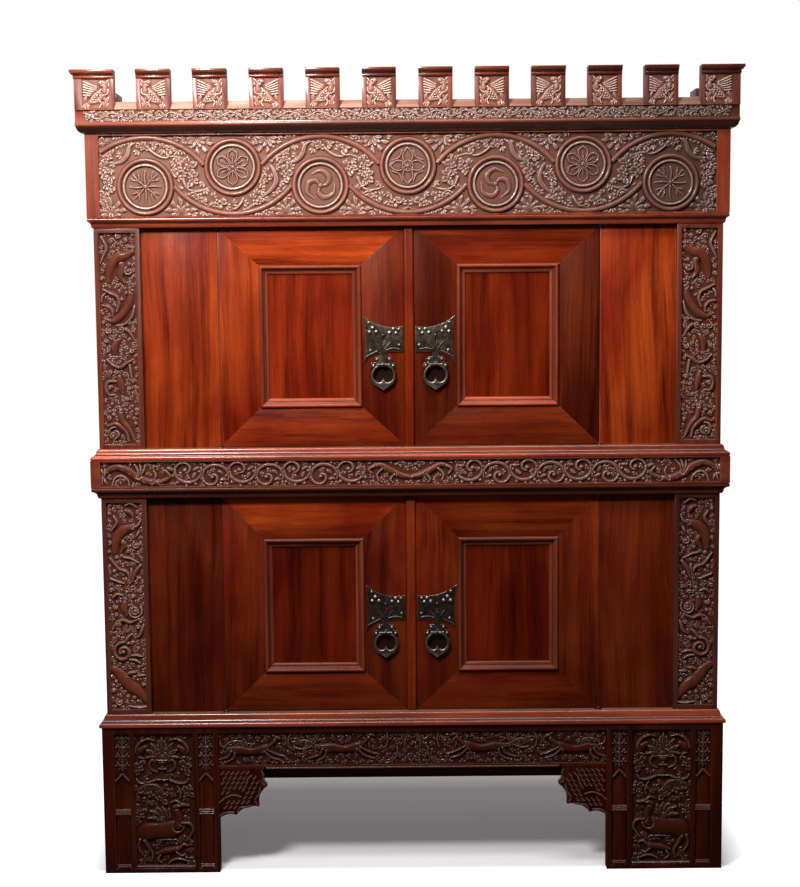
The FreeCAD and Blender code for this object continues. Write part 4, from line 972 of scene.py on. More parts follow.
class Board:
    """Heights over a sunk ground, in millimetres, seen from the front."""

    def __init__(self, x0, x1, z0, z1, step):
        self.x = np.linspace(x0, x1, round((x1 - x0) / step) + 1)
        self.z = np.linspace(z0, z1, round((z1 - z0) / step) + 1)
        self.high = np.zeros((len(self.z), len(self.x)))
        self.red = np.zeros_like(self.high)

    def window(self, x0, x1, z0, z1):
        a, b = np.searchsorted(self.x, (x0, x1))
        c, d = np.searchsorted(self.z, (z0, z1))
        return (slice(c, d), slice(a, b)), self.x[None, a:b], self.z[c:d, None]

    def around(self, x, z, pad):
        return self.window(x - pad, x + pad, z - pad, z + pad)

    def lay(self, where, height, red, near):
        """Set a form on the board, after clearing a little ground round it."""
        high, tint = self.high[where], self.red[where]
        high[near] *= 0.25
        over = height > high
        high[over] = height[over]
        tint[over] = red

    def stroke(self, points, width, height, red=0.0, ends=(0.4, 1.0, 0.2), clear=1.2, groove=0.0):
        """A rounded stroke along a curve, its width tapered by shares; a groove may run along its back."""
        path = smooth_path(points)
        share = np.linspace(0, 1, len(path))
        half = np.interp(share, np.linspace(0, 1, len(ends)), ends) * width / 2 + 0.05
        pad = width / 2 + clear + 0.5
        (x0, z0), (x1, z1) = path.min(0) - pad, path.max(0) + pad
        where, x, z = self.window(x0, x1, z0, z1)
        if 0 in (x.size, z.size):
            return
        best, size = np.full((z.size, x.size), 99.0), np.zeros((z.size, x.size))
        for (ax, az), (bx, bz), ra, rb in zip(path[:-1], path[1:], half[:-1], half[1:]):
            dx, dz = bx - ax, bz - az
            t = np.clip(((x - ax) * dx + (z - az) * dz) / (dx * dx + dz * dz + 1e-9), 0, 1)
            radius = ra + (rb - ra) * t
            q = np.hypot(x - ax - t * dx, z - az - t * dz) / radius
            closer = q < best
            best[closer] = q[closer]
            size[closer] = radius[closer]
        form = height * np.sqrt(np.clip(1 - best ** 2, 0, 1)) * np.minimum(1.0, 0.35 + 1.3 * size / width)
        if groove:
            form -= groove * np.exp(-(best / 0.22) ** 2) * (best < 1)
        self.lay(where, form, red, best * size < size + clear)

    def strokes(self, rows, place=lambda x, z: (x, z)):
        """Strokes from rows of points and what stroke() takes after them, moved by a rule for places."""
        for points, *form in rows:
            self.stroke([place(*p) for p in points], *form)

    def boss(self, x0, z0, rx, rz, height, angle=0.0, red=0.0, clear=0.8):
        """An oval dome."""
        c, s = math.cos(angle), math.sin(angle)
        where, x, z = self.around(x0, z0, max(rx, rz) + clear + 1)
        if 0 in (x.size, z.size):
            return
        q = np.hypot(((x - x0) * c + (z - z0) * s) / rx, ((z - z0) * c - (x - x0) * s) / rz)
        self.lay(where, height * np.clip(1 - q * q, 0, 1) ** 0.5, red, q < 1 + clear / min(rx, rz))

    def clear_disc(self, x0, z0, radius):
        where, x, z = self.around(x0, z0, radius)
        self.high[where][np.hypot(x - x0, z - z0) < radius] = 0

    def blurred(self, millimetres):
        half = max(1, int(round(millimetres / (self.x[1] - self.x[0]))))
        weights = np.exp(-0.5 * (np.arange(-half, half + 1) / (half / 1.8)) ** 2)
        weights /= weights.sum()
        padded = np.pad(self.high, half, mode="edge")
        for axis in (0, 1):
            padded = np.apply_along_axis(np.convolve, axis, padded, weights, mode="same")
        return padded[half:-half, half:-half]


print("carver's board ready")

# %% [markdown]
# Leaves are laid on that board. A leaf is made of drop-shaped lobes, and so are clusters, palmettes and leafy
# stems. At the end small leaves fill whatever ground is still bare, as a carver leaves no empty corner.

# %% Leaves for the board
class Relief(Board):
    """A board on which leaves can be laid."""

    def lobe(self, x0, z0, angle, length, width, height, bend=0.0, red=0.0, clear=0.9):
        """A drop-shaped leaf, highest near its rounded tip, with a shallow midrib."""
        c, s = math.cos(angle), math.sin(angle)
        where, x, z = self.around(x0, z0, length * 1.3 + 2)
        if 0 in (x.size, z.size):
            return
        along = ((x - x0) * c + (z - z0) * s) / length
        across = ((z - z0) * c - (x - x0) * s) / length - bend * along * np.abs(along)
        body = np.clip(along, 0.0, 1.0)
        edge = width / length / 2 * np.sin(np.pi * body ** 1.3) ** 0.62
        q = np.abs(across) / (edge + 1e-4)
        form = height * np.sqrt(np.clip(1 - q * q, 0, 1)) * (0.5 + 0.5 * body)
        form -= 0.25 * height * np.exp(-(across * length / (0.12 * width)) ** 2) * (body < 0.8) * (q < 1)
        form[(along < 0) | (along > 1)] = 0
        near = ((np.abs(across) - edge) * length < clear) & (along > 0.1) & (along < 1 + clear / length)
        self.lay(where, form, red, near)

    def leaf(self, x0, z0, angle, length, width, height, lobes=3, bend=0.0, red=0.0):
        """A leaf with pairs of side lobes under a long middle one; a small leaf is a single lobe."""
        for k in range(lobes - 1 if length > 15 else 0):
            share = 0.08 + 0.5 * k / max(1, lobes - 2)
            for side in (-1, 1):
                self.lobe(*polar(x0, z0, angle, length * share), angle + side * 0.8, 0.80 * width, 0.46 * width,
                          height * 0.85, -side * 0.2, red)
        self.lobe(x0, z0, angle, length, width * (0.6 if length > 15 else 0.8), height, bend, red)

    def tendril(self, x, z, heading, length, curl, width, height, leaves, size, red, flip):
        """A stem that curls as it goes, with leaves on alternate sides and one at its end."""
        turn, points, spots = math.radians(heading), [(x, z)], []
        count = max(6, int(length / 5))
        every = count / (leaves + 0.5)
        for i in range(count):
            turn += math.radians(curl) * length / count
            x += math.cos(turn) * length / count
            z += math.sin(turn) * length / count
            points.append((x, z))
            if int((i + 1) / every) > int(i / every):
                spots.append((x, z, turn))
        for n, (lx, lz, heading) in enumerate(spots):
            side = flip if n % 2 else -flip
            self.leaf(lx, lz, heading + side * 0.95, size, size * 0.52, height * 0.95, 3, -side * 0.35)
            self.leaf(lx, lz, heading - side * 1.25, size * 0.7, size * 0.42, height * 0.8, 3, side * 0.4)
        self.stroke(points, width, height, red, (0.8, 1.0, 0.75, 0.5))
        self.leaf(x, z, turn, size * 0.95, size * 0.6, height, 3, 0.3 * flip)

    def cluster(self, x, z, angle, size, height, count=5, spread=2.6, red=0.0):
        """A fan of round lobes in two rows round a knot of berries."""
        for n in range(count):
            turn = angle + spread * ((n + 0.5) / count - 0.5)
            tall, long = (0.85 * height, size * 0.54) if n % 2 else (height, size * 0.66)
            self.lobe(*polar(x, z, turn, size * 0.30), turn, long, size * 0.44, tall, 0.2 * (-1) ** n, red)
        for n in range(3):
            turn = angle + spread * 0.30 * (n - 1)
            self.lobe(*polar(x, z, turn, -2), turn, size * 0.44, size * 0.34, height * 1.05, 0.0, red)
        self.boss(*polar(x, z, angle, -size * 0.12), size * 0.13, size * 0.13, height, 0.0, red)

    def fan(self, x, z, angle, size, height):
        """A palmette: two rows of lobes that spread from one root."""
        for first, long, tall, turns in ((0.44, 0.56, 1.0, (-66, -33, 0, 33, 66)),
                                         (0.08, 0.46, 0.88, (-82, -50, -17, 17, 50, 82))):
            for degrees in turns:
                turn = angle + math.radians(degrees)
                self.lobe(*polar(x, z, turn, size * first), turn, size * long, size * 0.24, height * tall,
                          math.copysign(0.12, degrees))

    def fill(self, spacing, size, height, seed, keep=lambda x, z: True):
        """Small three-lobed leaves wherever the ground is still bare."""
        chance = np.random.default_rng(seed)
        step = self.x[1] - self.x[0]
        cells = max(1, int(spacing * 0.42 / step))
        spots = [(x, z) for x in np.arange(self.x[0] + 4, self.x[-1] - 3, spacing * 0.5)
                 for z in np.arange(self.z[0] + 4, self.z[-1] - 3, spacing * 0.5)]
        chance.shuffle(spots)
        laid = 0
        for x, z in spots:
            x, z = x + chance.uniform(-2, 2), z + chance.uniform(-2, 2)
            i, j = int((z - self.z[0]) / step), int((x - self.x[0]) / step)
            near = self.high[max(0, i - cells):i + cells + 1, max(0, j - cells):j + cells + 1]
            if near.size == 0 or (near > 0.8).mean() > 0.12 or not keep(x, z):
                continue
            angle = chance.uniform(0, 2 * math.pi)
            for spread in (-1.0, 1.0, 0.0):
                self.lobe(*polar(x, z, angle, -size * 0.4), angle + spread, size * (0.85 if spread else 1.0),
                          size * 0.48, height * chance.uniform(0.8, 1), -0.2 * spread)
            laid += 1
        return laid


print("leaf forms: lobe, leaf, tendril, cluster, fan")

# %% [markdown]
# A finished map becomes a mesh: the carved front, a thin rim and a flat back. Grime and painted shade are where a
# point lies below the mean of its surroundings, rubbing and painted highlights where it stands above them.

# %% From height map to mesh
# FADE is the span in x over which the tones of the carving fall: painted shade towards the right, where the light falls
# off
MARKS, FADE = ("relief", "hollow", "ridge", "red"), (-100, 650)


def carved_mesh(name, boards, ground, tone, top, grain="z", seed=5, fade=1.0):
    """One closed mesh from height maps; each board is a map and +1, or -1 to mirror it."""
    chance = np.random.default_rng(seed)
    points, faces, grains, tones, marks = [], [], [], [], {key: [] for key in MARKS}
    first = 0
    for relief, mirror in boards:
        x, z, high = relief.x, relief.z, relief.blurred(1.0)
        mean, close, wide = (relief.blurred(size) for size in (3.6, 2.4, 11.0))
        # painted shade and grime: how far a point lies below its near and its wider surroundings
        deep = np.maximum((mean - high - 0.03 * top) / (0.27 * top), (wide - high - 0.05 * top) / (0.42 * top))
        across, up = np.broadcast_to(mirror * x, high.shape), np.broadcast_to(z[:, None], high.shape)
        front = np.stack([across, ground - 0.5 - high, up], 2).reshape(-1, 3)
        index = first + np.arange(high.size).reshape(high.shape)
        rim = np.concatenate([index[0, :], index[1:, -1], index[-1, -2::-1], index[-2:0:-1, 0]])
        back = front[rim - first].copy()
        back[:, 1] = ground + 1.0
        block = np.vstack([front, back, [[mirror * x.mean(), ground + 1.0, z.mean()]]])
        low = first + high.size + np.arange(len(rim))
        after, middle = np.roll(low, -1), np.full(len(rim), first + len(block) - 1)
        quads = np.stack([index[:-1, :-1], index[:-1, 1:], index[1:, 1:], index[1:, :-1]], 2).reshape(-1, 4)
        walls = np.stack([rim, low, after, np.roll(rim, -1)], 1)
        for flat in (quads, walls, np.stack([low, middle, after], 1)):
            faces += (flat[:, ::-1] if mirror < 0 else flat).tolist()
        # painted highlight and rubbing on the crests of the forms
        rubbed_and_lit = (high - close - 0.02 * top) / (0.08 * top)
        for key, value in zip(MARKS, (high / top, deep, rubbed_and_lit, relief.red)):
            marks[key].append(np.concatenate([np.clip(value, 0, 1).ravel(), np.zeros(len(rim) + 1)]))
        grains.append(block[:, AXES[grain]] / 1000 + chance.uniform(-3, 3, 3))
        # painted shade: the tone falls to fade towards the right
        tones.append(tone * np.interp(block[:, 0], FADE, (1.0, fade)))
        points.append(block)
        first += len(block)
    mesh = new_mesh(name, np.vstack(points), faces)
    write_marks(mesh, np.vstack(grains), np.concatenate(tones), **{k: np.concatenate(v) for k, v in marks.items()})
    return mesh


def seat(mesh, finish=carved, replaces=()):
    made = finished(mesh, "carcase", "carved_walnut", (finish,), 0, replaces=replaces)
    made.data.set_sharp_from_angle(angle=math.radians(CRISP_CARVING))


print("a carved mesh carries:", *MARKS)

# %% [markdown]
# The frieze is the richest field. A thick stem waves along it, arching over each low roundel and sagging under each
# high one. Between the stems lie horn-shaped leaves, thin curling shoots and clusters of round lobes on a plain ground,
# and palmettes fill the corners. The right half mirrors the left, so only the left half is drawn, round each roundel's
# own centre.

# %% Frieze foliage
ROUNDELS = [(-655.5 + i * 218.5, 1816.0 if i % 2 else 1769.0) for i in range(7)]
STEM_R, STEM_TURN, ARCH_Z, SAG_Z, FRIEZE_GROUND = 190.7, 49.96, 1699.3, 1891.7, -231.0
stem_turns = np.radians(np.linspace(90 + STEM_TURN, 90 - STEM_TURN, 17))
stems = []
for n, (x, z) in enumerate(ROUNDELS):
    up, middle = (-1, SAG_Z) if n % 2 else (1, ARCH_Z)
    stems.append([(x + STEM_R * math.cos(t), middle + up * STEM_R * math.sin(t)) for t in stem_turns])
HORN, SHOOT = (0.3, 0.8, 1.0, 0.85, 0.4), (1.0, 0.85, 0.65, 0.45, 0.2)
# a horn or shoot is its points, width and taper; a cluster is its root, heading in degrees and size
OVER = [([(-20, 114), (-37, 99), (-44, 78), (-58, 63), (-76, 58)], 13, HORN),
    ([(10, 94), (30, 78), (50, 71), (72, 75), (94, 69)], 7, SHOOT),
    ([(94, 18), (103, -2), (120, -12), (140, -10), (158, -4)], 7, SHOOT), ((-86, 72), 150, 27), ((-6, 93), 75, 21),
    ((18, 107), 5, 20), ((54, 98), 0, 27), ((72, 44), -70, 24), ((103, 46), 25, 29), ((112, 20), -25, 25)]
UNDER = [((-82, -70), -120, 27), ((-40, -84), -70, 27),
    ([(-46, -103), (-24, -110), (2, -105), (17, -92), (25, -78)], 8, HORN), ((54, -86), -45, 28),
    ([(72, -74), (94, -58), (108, -36), (104, -12), (96, 2)], 13, HORN), ((82, -36), 170, 23), ((126, -18), 10, 27),
    ((124, 16), 60, 26), ((98, 16), 110, 23)]
END = [((-96, 42), 190, 28), ((-86, 8), 220, 24), ((-98, -30), 200, 28), ((-84, -54), 200, 25), ((-104, 104), 100, 21)]
frieze = Relief(FRIEZE_FIELD[0], 0, *FRIEZE_FIELD[2:], 1.35)
for n, (x, z) in enumerate(ROUNDELS[:4]):
    for place, size, form in (UNDER if n % 2 else OVER) + (END if n == 0 else []):
        if isinstance(place, list):
            frieze.stroke([(x + u, z + v) for u, v in place], size, 7.5, 0.5, form, 1.6, 1.2)
        else:
            frieze.cluster(x + place[0], z + place[1], math.radians(size), form, 8.0, 6, 3.4, 0.15)
    for side in (-1, 1):
        frieze.fan(x + side * 88, z + (72 if n % 2 else -70), math.radians(-90 if n % 2 else 90), 46, 7.5)


def clear_stems(width, clear):
    for stem in stems:
        frieze.stroke(stem, width, 0.0, 0.0, (1, 1, 1), clear)


def off_roundels(x, z):
    return min(math.hypot(x - a, z - b) for a, b in ROUNDELS) > 84


clear_stems(16, 2.5)
for x, z in ROUNDELS:
    frieze.clear_disc(x, z, 75)
laid = frieze.fill(18, 13, 6.5, 3, off_roundels)
clear_stems(14, 1.0)
for name, way, seed in (("frieze_carving_left", 1, 5), ("frieze_carving_right", -1, 6)):
    seat(carved_mesh(name, [(frieze, way)], FRIEZE_GROUND, 1.03, 7.5, seed=seed, fade=0.33))
print("frieze:", frieze.high.shape, "points each half,", laid, "filling leaves")

# %% [markdown]
# The stem stands round and proud of the leaves. It follows a path, so a node tree sweeps a rounded section along it;
# the same tree makes the ribs of the locks and brackets further down.

# %% Frieze stem
sweep, given, out = new_nodes("rounded stem", {"Width": FLOAT, "Height": FLOAT, "Finish": MATERIAL})
line = add(sweep, "GeometryNodeMeshToCurve", {0: given["Geometry"]})[0]
circle = add(sweep, "GeometryNodeCurvePrimitiveCircle", {"Resolution": 14, "Radius": 0.5})[0]
size = add(sweep, "ShaderNodeCombineXYZ", {0: given["Height"], 1: given["Width"], 2: 1.0})[0]
profile = add(sweep, "GeometryNodeTransform", {0: circle, "Scale": size})[0]
upright = add(sweep, "GeometryNodeSetCurveNormal", {"Curve": line}, mode="Z_UP")[0]
tube = add(sweep, "GeometryNodeCurveToMesh", {"Curve": upright, "Profile Curve": profile, "Fill Caps": True})[0]
handed_on(sweep, add(sweep, "GeometryNodeRealizeInstances", {0: tube})[0], given, out)


def swept(name, runs, width, height, finish):
    """Rounded strokes along paths in millimetres, with the places of their points."""
    points, joints = [], []
    for run in runs:
        joints += [(len(points) + i, len(points) + i + 1) for i in range(len(run) - 1)]
        points += run
    path = new_mesh(name + "_lines", points, edges=joints)
    mesh = grown(name, path, sweep, {"Width": width / 1000, "Height": height / 1000, "Finish": finish})
    return mesh, np.array([v.co for v in mesh.vertices])


runs = [[(x, FRIEZE_GROUND - 0.5, z) for x, z in smooth_path(stem, 3) if abs(x) < FRIEZE_FIELD[1] - 1]
        for stem in stems]
stem_mesh, places = swept("frieze_stem", runs, 13.6, 15.0, carved)
# painted shade round the stem's foot and towards the right, a faint painted highlight and rubbing on its top
stand = np.clip((FRIEZE_GROUND / 1000 - places[:, 1]) / 0.007, 0, 1)
write_marks(stem_mesh, places, np.interp(places[:, 0], (-0.1, 0.65), (0.9, 0.42)), relief=stand,
            hollow=np.clip(0.8 - stand, 0, 1), ridge=np.clip(stand * 3 - 2.4, 0, 0.12), red=np.ones(len(places)))
seat(stem_mesh, replaces=("frieze_vine",))
print("stem:", len(stem_mesh.polygons), "faces, y", places[:, 1].min().round(4))

# %% [markdown]
# The seven roundels are turned rings round a sunk disc, on which a star, a flower, a whirl or a lattice stands in thin
# ridges. The rings are drawn in polar steps, so the rolls stay perfectly round, and the ridges are read from a small
# carver's board.

# %% Hearts of the roundels
def heart(kind):
    board = Relief(-50, 50, -50, 50, 0.8)

    def line(marks, width, ends=(1, 1, 0.8), height=3.6):
        board.stroke([(r * math.cos(t), r * math.sin(t)) for r, t in marks], width, height, 0.6, ends, 0.6)

    if kind == "star":
        for k in range(8):
            t = k * math.pi / 4
            line([(3, t), (22, t + 0.08), (43 if k % 2 else 39, t)], 5.5, (0.7, 1, 0.5))
            for side in (-1, 1) if k % 2 else ():
                line([(20, t), (32, t + side * 0.26), (41, t + side * 0.30)], 4, (0.5, 1, 0.4))
    elif kind == "flower":
        for k in range(6):
            t = (k + 0.5) * math.pi / 3
            for side in (-1, 1):
                line([(6, t), (22, t + side * 0.44), (36, t + side * 0.30), (44, t)], 4)
            line([(10, t), (30, t)], 3.4, (1, 0.8, 0.4))
    elif kind == "whirl":
        for k in range(3):
            t = k * math.pi / 1.5
            line([(3, t), (17, t + 0.25), (30, t + 0.8), (37, t + 1.5), (36, t + 2.2)], 13,
                 (0.4, 0.8, 1.0, 0.75, 0.2), 4.2)
    else:
        for k in range(4):
            t = k * math.pi / 2
            for side in (-1, 1):
                line([(5, t), (18, t + side * 0.62), (32, t + side * 0.36), (45, t)], 4)
            line([(40, t + 0.35), (30, t + 0.785), (40, t + 1.22)], 4)
        line([(13, t) for t in np.linspace(0, 2 * math.pi, 17)], 3.6)
    board.boss(0, 0, 6, 6, 4.6, 0.0, 0.6)
    return board


HEARTS = ("star", "flower", "whirl", "lattice", "whirl", "flower", "star")
hearts = {kind: heart(kind) for kind in set(HEARTS)}
print("hearts:", *HEARTS)

# %% [markdown]
# Round each heart runs a fine bead, a groove and a broad roll. The groove, the ring's foot and the hollows of the heart
# are darkened as painted shade, and the bead's crest is lightened as a painted highlight. All seven roundels become one
# mesh.

# %% Roundels
DISC_R, BEAD_R, GROOVE_R, ROLL_R, RIM_R, AROUND, DISC_HIGH = 49.0, 53.6, 58.8, 66.0, 72.5, 180, 1.6
RINGS = np.concatenate([np.linspace(0.0, DISC_R, 44), np.linspace(49.6, RIM_R, 32)])
r = np.repeat(RINGS[:, None], AROUND, 1)
t = np.repeat(np.linspace(0, 2 * math.pi, AROUND, endpoint=False)[None, :], len(RINGS), 0)
across, up, inside = r * np.cos(t), r * np.sin(t), r <= DISC_R


def roll(middle, half, height):
    return height * np.sqrt(np.clip(1 - ((r - middle) / half) ** 2, 0, 1))


def bell(middle, width):
    return np.exp(-((r - middle) / width) ** 2)


def read(board, values, x, z):
    """Values of a board at points between its steps."""
    i = np.clip((z - board.z[0]) / (board.z[1] - board.z[0]), 0, len(board.z) - 1.001)
    j = np.clip((x - board.x[0]) / (board.x[1] - board.x[0]), 0, len(board.x) - 1.001)
    a, b = i.astype(int), j.astype(int)
    u, v = i - a, j - b
    return ((values[a, b] * (1 - v) + values[a, b + 1] * v) * (1 - u)
            + (values[a + 1, b] * (1 - v) + values[a + 1, b + 1] * v) * u)


edge = np.maximum.reduce([roll(ROLL_R, 6.5, 9.0), roll(BEAD_R, 4.1, 8.0), np.where(r > 53, 2.2, DISC_HIGH)])
# painted shade: the groove, the edge of the disc and the foot of the ring
groove = bell(GROOVE_R, 2.0) + bell(DISC_R, 1.6) + 0.9 * bell(RIM_R, 2.2)
# painted highlight and rubbing along the bead and the roll
crest = bell(53.4, 2.0) + 0.2 * bell(ROLL_R, 2.0)
points, faces, grains, marks = [], [], [], {key: [] for key in MARKS}
for n, (x, z) in enumerate(ROUNDELS):
    board, way = hearts[HEARTS[n]], 1 if n < 4 else -1
    own, mean, close = (read(board, board.blurred(size), way * across, up) for size in (1.0, 4.5, 2.0))
    high = np.where(inside, DISC_HIGH + own, edge)
    front = np.stack([x + across, FRIEZE_GROUND - high, z + up], 2).reshape(-1, 3)
    rim = np.stack([x + across[-1], np.full(AROUND, FRIEZE_GROUND + 0.5), z + up[-1]], 1)
    points.append(np.vstack([front, rim, [[x, FRIEZE_GROUND + 0.5, z]]]))
    first = n * len(points[0])
    index = first + np.arange(r.size).reshape(r.shape)
    after, low = np.roll(index, -1, 1), first + r.size + np.arange(AROUND)
    low_after, middle = np.roll(low, -1), np.full(AROUND, first + r.size + AROUND)
    for flat in (np.stack([index[1], after[1], np.full(AROUND, first)], 1),
                 np.stack([index[2:], after[2:], after[1:-1], index[1:-1]], 2).reshape(-1, 4),
                 np.stack([low, low_after, after[-1], index[-1]], 1), np.stack([low, middle, low_after], 1)):
        faces += flat.tolist()
    # painted shade in the heart's hollows, painted highlight and rubbing on its ridges
    dip, tip = np.clip(mean - own - 0.05, 0, 1), 0.4 * np.clip((own - close) / 0.6, 0, 1)
    red = np.where(inside, read(board, board.red, way * across, up), np.where(r < 58, 0.2, 1.0))
    values = (np.where(inside, own / 6, high / 9), np.where(inside, np.maximum(dip, groove), groove),
              np.where(inside, tip, crest), red)
    for key, value in zip(MARKS, values):
        marks[key].append(np.concatenate([np.clip(value, 0, 1).ravel(), np.zeros(AROUND + 1)]))
    grains.append(points[-1][:, AXES["x"]] / 1000 + n * 1.3)
points = np.vstack(points)
mesh = new_mesh("roundels", points, faces)
# painted shade: the tone falls towards the right
write_marks(mesh, np.vstack(grains), np.interp(points[:, 0], FADE, (1.0, 0.42)),
            **{key: np.concatenate(value) for key, value in marks.items()})
seat(outward(mesh, weld=True), replaces=("frieze_roundels",))
print("roundels:", len(mesh.polygons), "faces")

# %% [markdown]
# Each lock plate carries forged ornament: round-headed nails in little groups, two ribs that form a V under the
# keyhole, guides along the foot, and leaf bosses on the stem above the ring. Nails repeat, so a node tree sets one low
# dome on marked points, each with its own size; the ribs use the stem's tree.

# %% Nails and ribs of the locks
# nails: sideways and up from the lock's middle, radius
NAILS = [(35.8, 43, 4.6), (26.5, 30, 5.6), (34.5, 19.5, 5.6), (17, 20, 5.4), (-40, 26, 4.6), (-26, 27, 5.6),
    (-16.5, 17.5, 5.6), (-33, 16.5, 5.2), (-41, -14, 4.4), (32, -27, 4.4), (0, 11, 3.4), (16, -50, 4.6),
    (-16, -50, 4.6), (25, -66, 4.6), (-25, -66, 4.6)]
RIBS = [[(21, -5), (14, -12), (6, -24)], [(-20, -6), (-13, -13), (-4, -24)], [(-8, -26), (-24, -22), (-42, -25)],
    [(45, -44), (30, -36), (14, -28)], [(0, -27), (0, -42), (0, -54)]]
PLATE_FACE, RIB_WIDTH, RIB_HIGH, SIDES = -213.0, 4.2, 4.8, 10
# where rubbing and a painted highlight start on a nail or rib, and over what height they grow, in metres
RUB_AND_LIGHT_FROM, RUB_AND_LIGHT_OVER = -0.2148, 0.0022
DOME = ((1.0, 0.3), (1.0, -0.1), (0.84, -0.50), (0.48, -0.76))
dome_turns = np.linspace(0, 2 * math.pi, SIDES, endpoint=False)
dome_points = [(r * math.cos(t), y, r * math.sin(t)) for r, y in DOME for t in dome_turns]
index = np.arange(len(dome_points)).reshape(len(DOME), SIDES)
after, tip = np.roll(index, -1, 1), np.full(SIDES, len(dome_points))
dome_faces = np.stack([index[:-1], after[:-1], after[1:], index[1:]], 2).reshape(-1, 4).tolist()
dome_faces += np.stack([index[-1], after[-1], tip], 1).tolist() + np.stack([after[0], index[0], tip + 1], 1).tolist()
dome = bpy.data.meshes.new("nail_head")
dome.from_pydata(dome_points + [(0, -0.86, 0), (0, 0.3, 0)], [], dome_faces)
one_nail = bpy.data.objects.new("one_nail", dome)
nailing, given, out = new_nodes("set nails", {"Nail": OBJECT, "Finish": MATERIAL})
head = add(nailing, "GeometryNodeObjectInfo", {0: given["Nail"]})["Geometry"]
driven = add(nailing, "GeometryNodeInstanceOnPoints", {"Points": given["Geometry"], "Instance": head,
                                                       "Scale": named(nailing, "size", "FLOAT")})[0]
handed_on(nailing, add(nailing, "GeometryNodeRealizeInstances", {0: driven})[0], given, out)
for stage, (*_, lock, tone) in STAGES.items():
    for hand, side in HANDS:
        name = stage + "_" + hand

        def on_plate(along, up):
            return side * (RING_AT + along), PLATE_FACE, lock + up

        points = new_mesh(name + "_nail_seats", [on_plate(along, up) for along, up, radius in NAILS])
        sizes = [radius / 1000 for along, up, radius in NAILS]
        points.attributes.new("size", "FLOAT", "POINT").data.foreach_set("value", sizes)
        nails = grown(name + "_nails", points, nailing, {"Nail": one_nail, "Finish": iron})
        runs = [[on_plate(*p) for p in smooth_path(rib, 4)] for rib in RIBS]
        forged, _ = swept(name + "_lock_ribs", runs, RIB_WIDTH, RIB_HIGH, iron)
        for mesh in (nails, forged):
            places = np.array([v.co for v in mesh.vertices])
            proud = np.clip((RUB_AND_LIGHT_FROM - places[:, 1]) / RUB_AND_LIGHT_OVER, 0, 1)
            write_marks(mesh, places, np.ones(len(places)), ridge=proud)
            finished(mesh, name + "_door", "forged_iron", (iron_low if stage == "lower" else iron,), 0)
print("locks:", len(NAILS), "nails and", len(RIBS), "ribs on each plate")

# %% [markdown]
# On every merlon a bird with raised wings fills the field, its tail towards a lower corner, turned left and right in
# turn. The bird is drawn to the size of its field and mirrored where it faces the other way.

# %% Birds of the crest
BIRD_W, BIRD_H, WING, FAR_WING, TAIL = 62, 72, (0.6, 1, 0.8), (0.7, 1, 0.7), (0.8, 1, 0.9)
SCALES = ((-6, 22), (0, 22), (-2, 28), (5, 27), (3, 33), (10, 33), (9, 39), (16, 38), (15, 44), (21, 44))


def bird(width, height):
    board = Relief(0, width, 0, height, 1.05)

    def spot(u, v):
        return (u + BIRD_W / 2) * width / BIRD_W, v * height / BIRD_H

    board.strokes([([(1, 36 + 3.2 * k), (-13, 33 + 5.2 * k), (-28, 34 + 6.4 * k)], 6.2, 5.6, 0.1, WING)
                   for k in range(6)], spot)
    board.strokes([([(21, 50 + 2 * k), (26, 54 + 3.6 * k), (30, 57 + 4.2 * k)], 5.4, 5.2, 0.1, FAR_WING, 1.0)
                   for k in range(4)], spot)
    board.strokes([([(-4, 25), (-16, 15 - 2 * k), (-29 + 5 * k, 6 - 2 * k)], 8.4, 6.0, 0.2, TAIL, 1.0)
                   for k in range(3)], spot)
    board.strokes([([(-13, 17), (3, 29), (21, 43)], 27, 7.0, 0.2, (0.45, 1.0, 0.8), 2.0)], spot)
    for place in SCALES:
        board.boss(*spot(*place), 3.8, 3.0, 7.6, 0.7, 0.1, 0.7)
    board.strokes([([(20, 43), (20, 53), (13, 61)], 13, 6.8, 0.2, (1.0, 0.85, 0.85), 1.6)], spot)
    board.boss(*spot(12, 63), 7.0, 5.6, 7.2, 0.2, 0.2)
    board.strokes([([(16, 65), (25, 60)], 4.4, 6.4, 0.2, (1, 0.8, 0.3)),
                   ([(6, 24), (12, 14), (8, 5)], 5.5, 5.4, 0.2, (1, 0.8, 0.8))], spot)
    board.leaf(*spot(20, 4), 1.4, 27, 15, 5.0, 3, -0.2)
    board.lobe(*spot(-27, 18), 1.2, 15, 8, 4.6)
    return board


CREST_GROUND = CREST_FACE - STRIP_DEPTH
fields = []
for n, (x0, x1) in enumerate(MERLONS):
    left, right, foot, top = merlon_field(x0, x1)
    made = bird(right - left, top - foot)
    if n % 2:
        made.high, made.red = made.high[:, ::-1], made.red[:, ::-1]
    made.x, made.z = made.x + left, made.z + foot
    fields.append((made, 1))
seat(carved_mesh("merlon_birds", fields, CREST_GROUND, 1.45, 6.0, seed=21, fade=0.5))
print("birds:", len(fields))

# %% [markdown]
# Under the birds a thin stem winds along a narrow strip, with a spray of leaves and a berry in every bend.

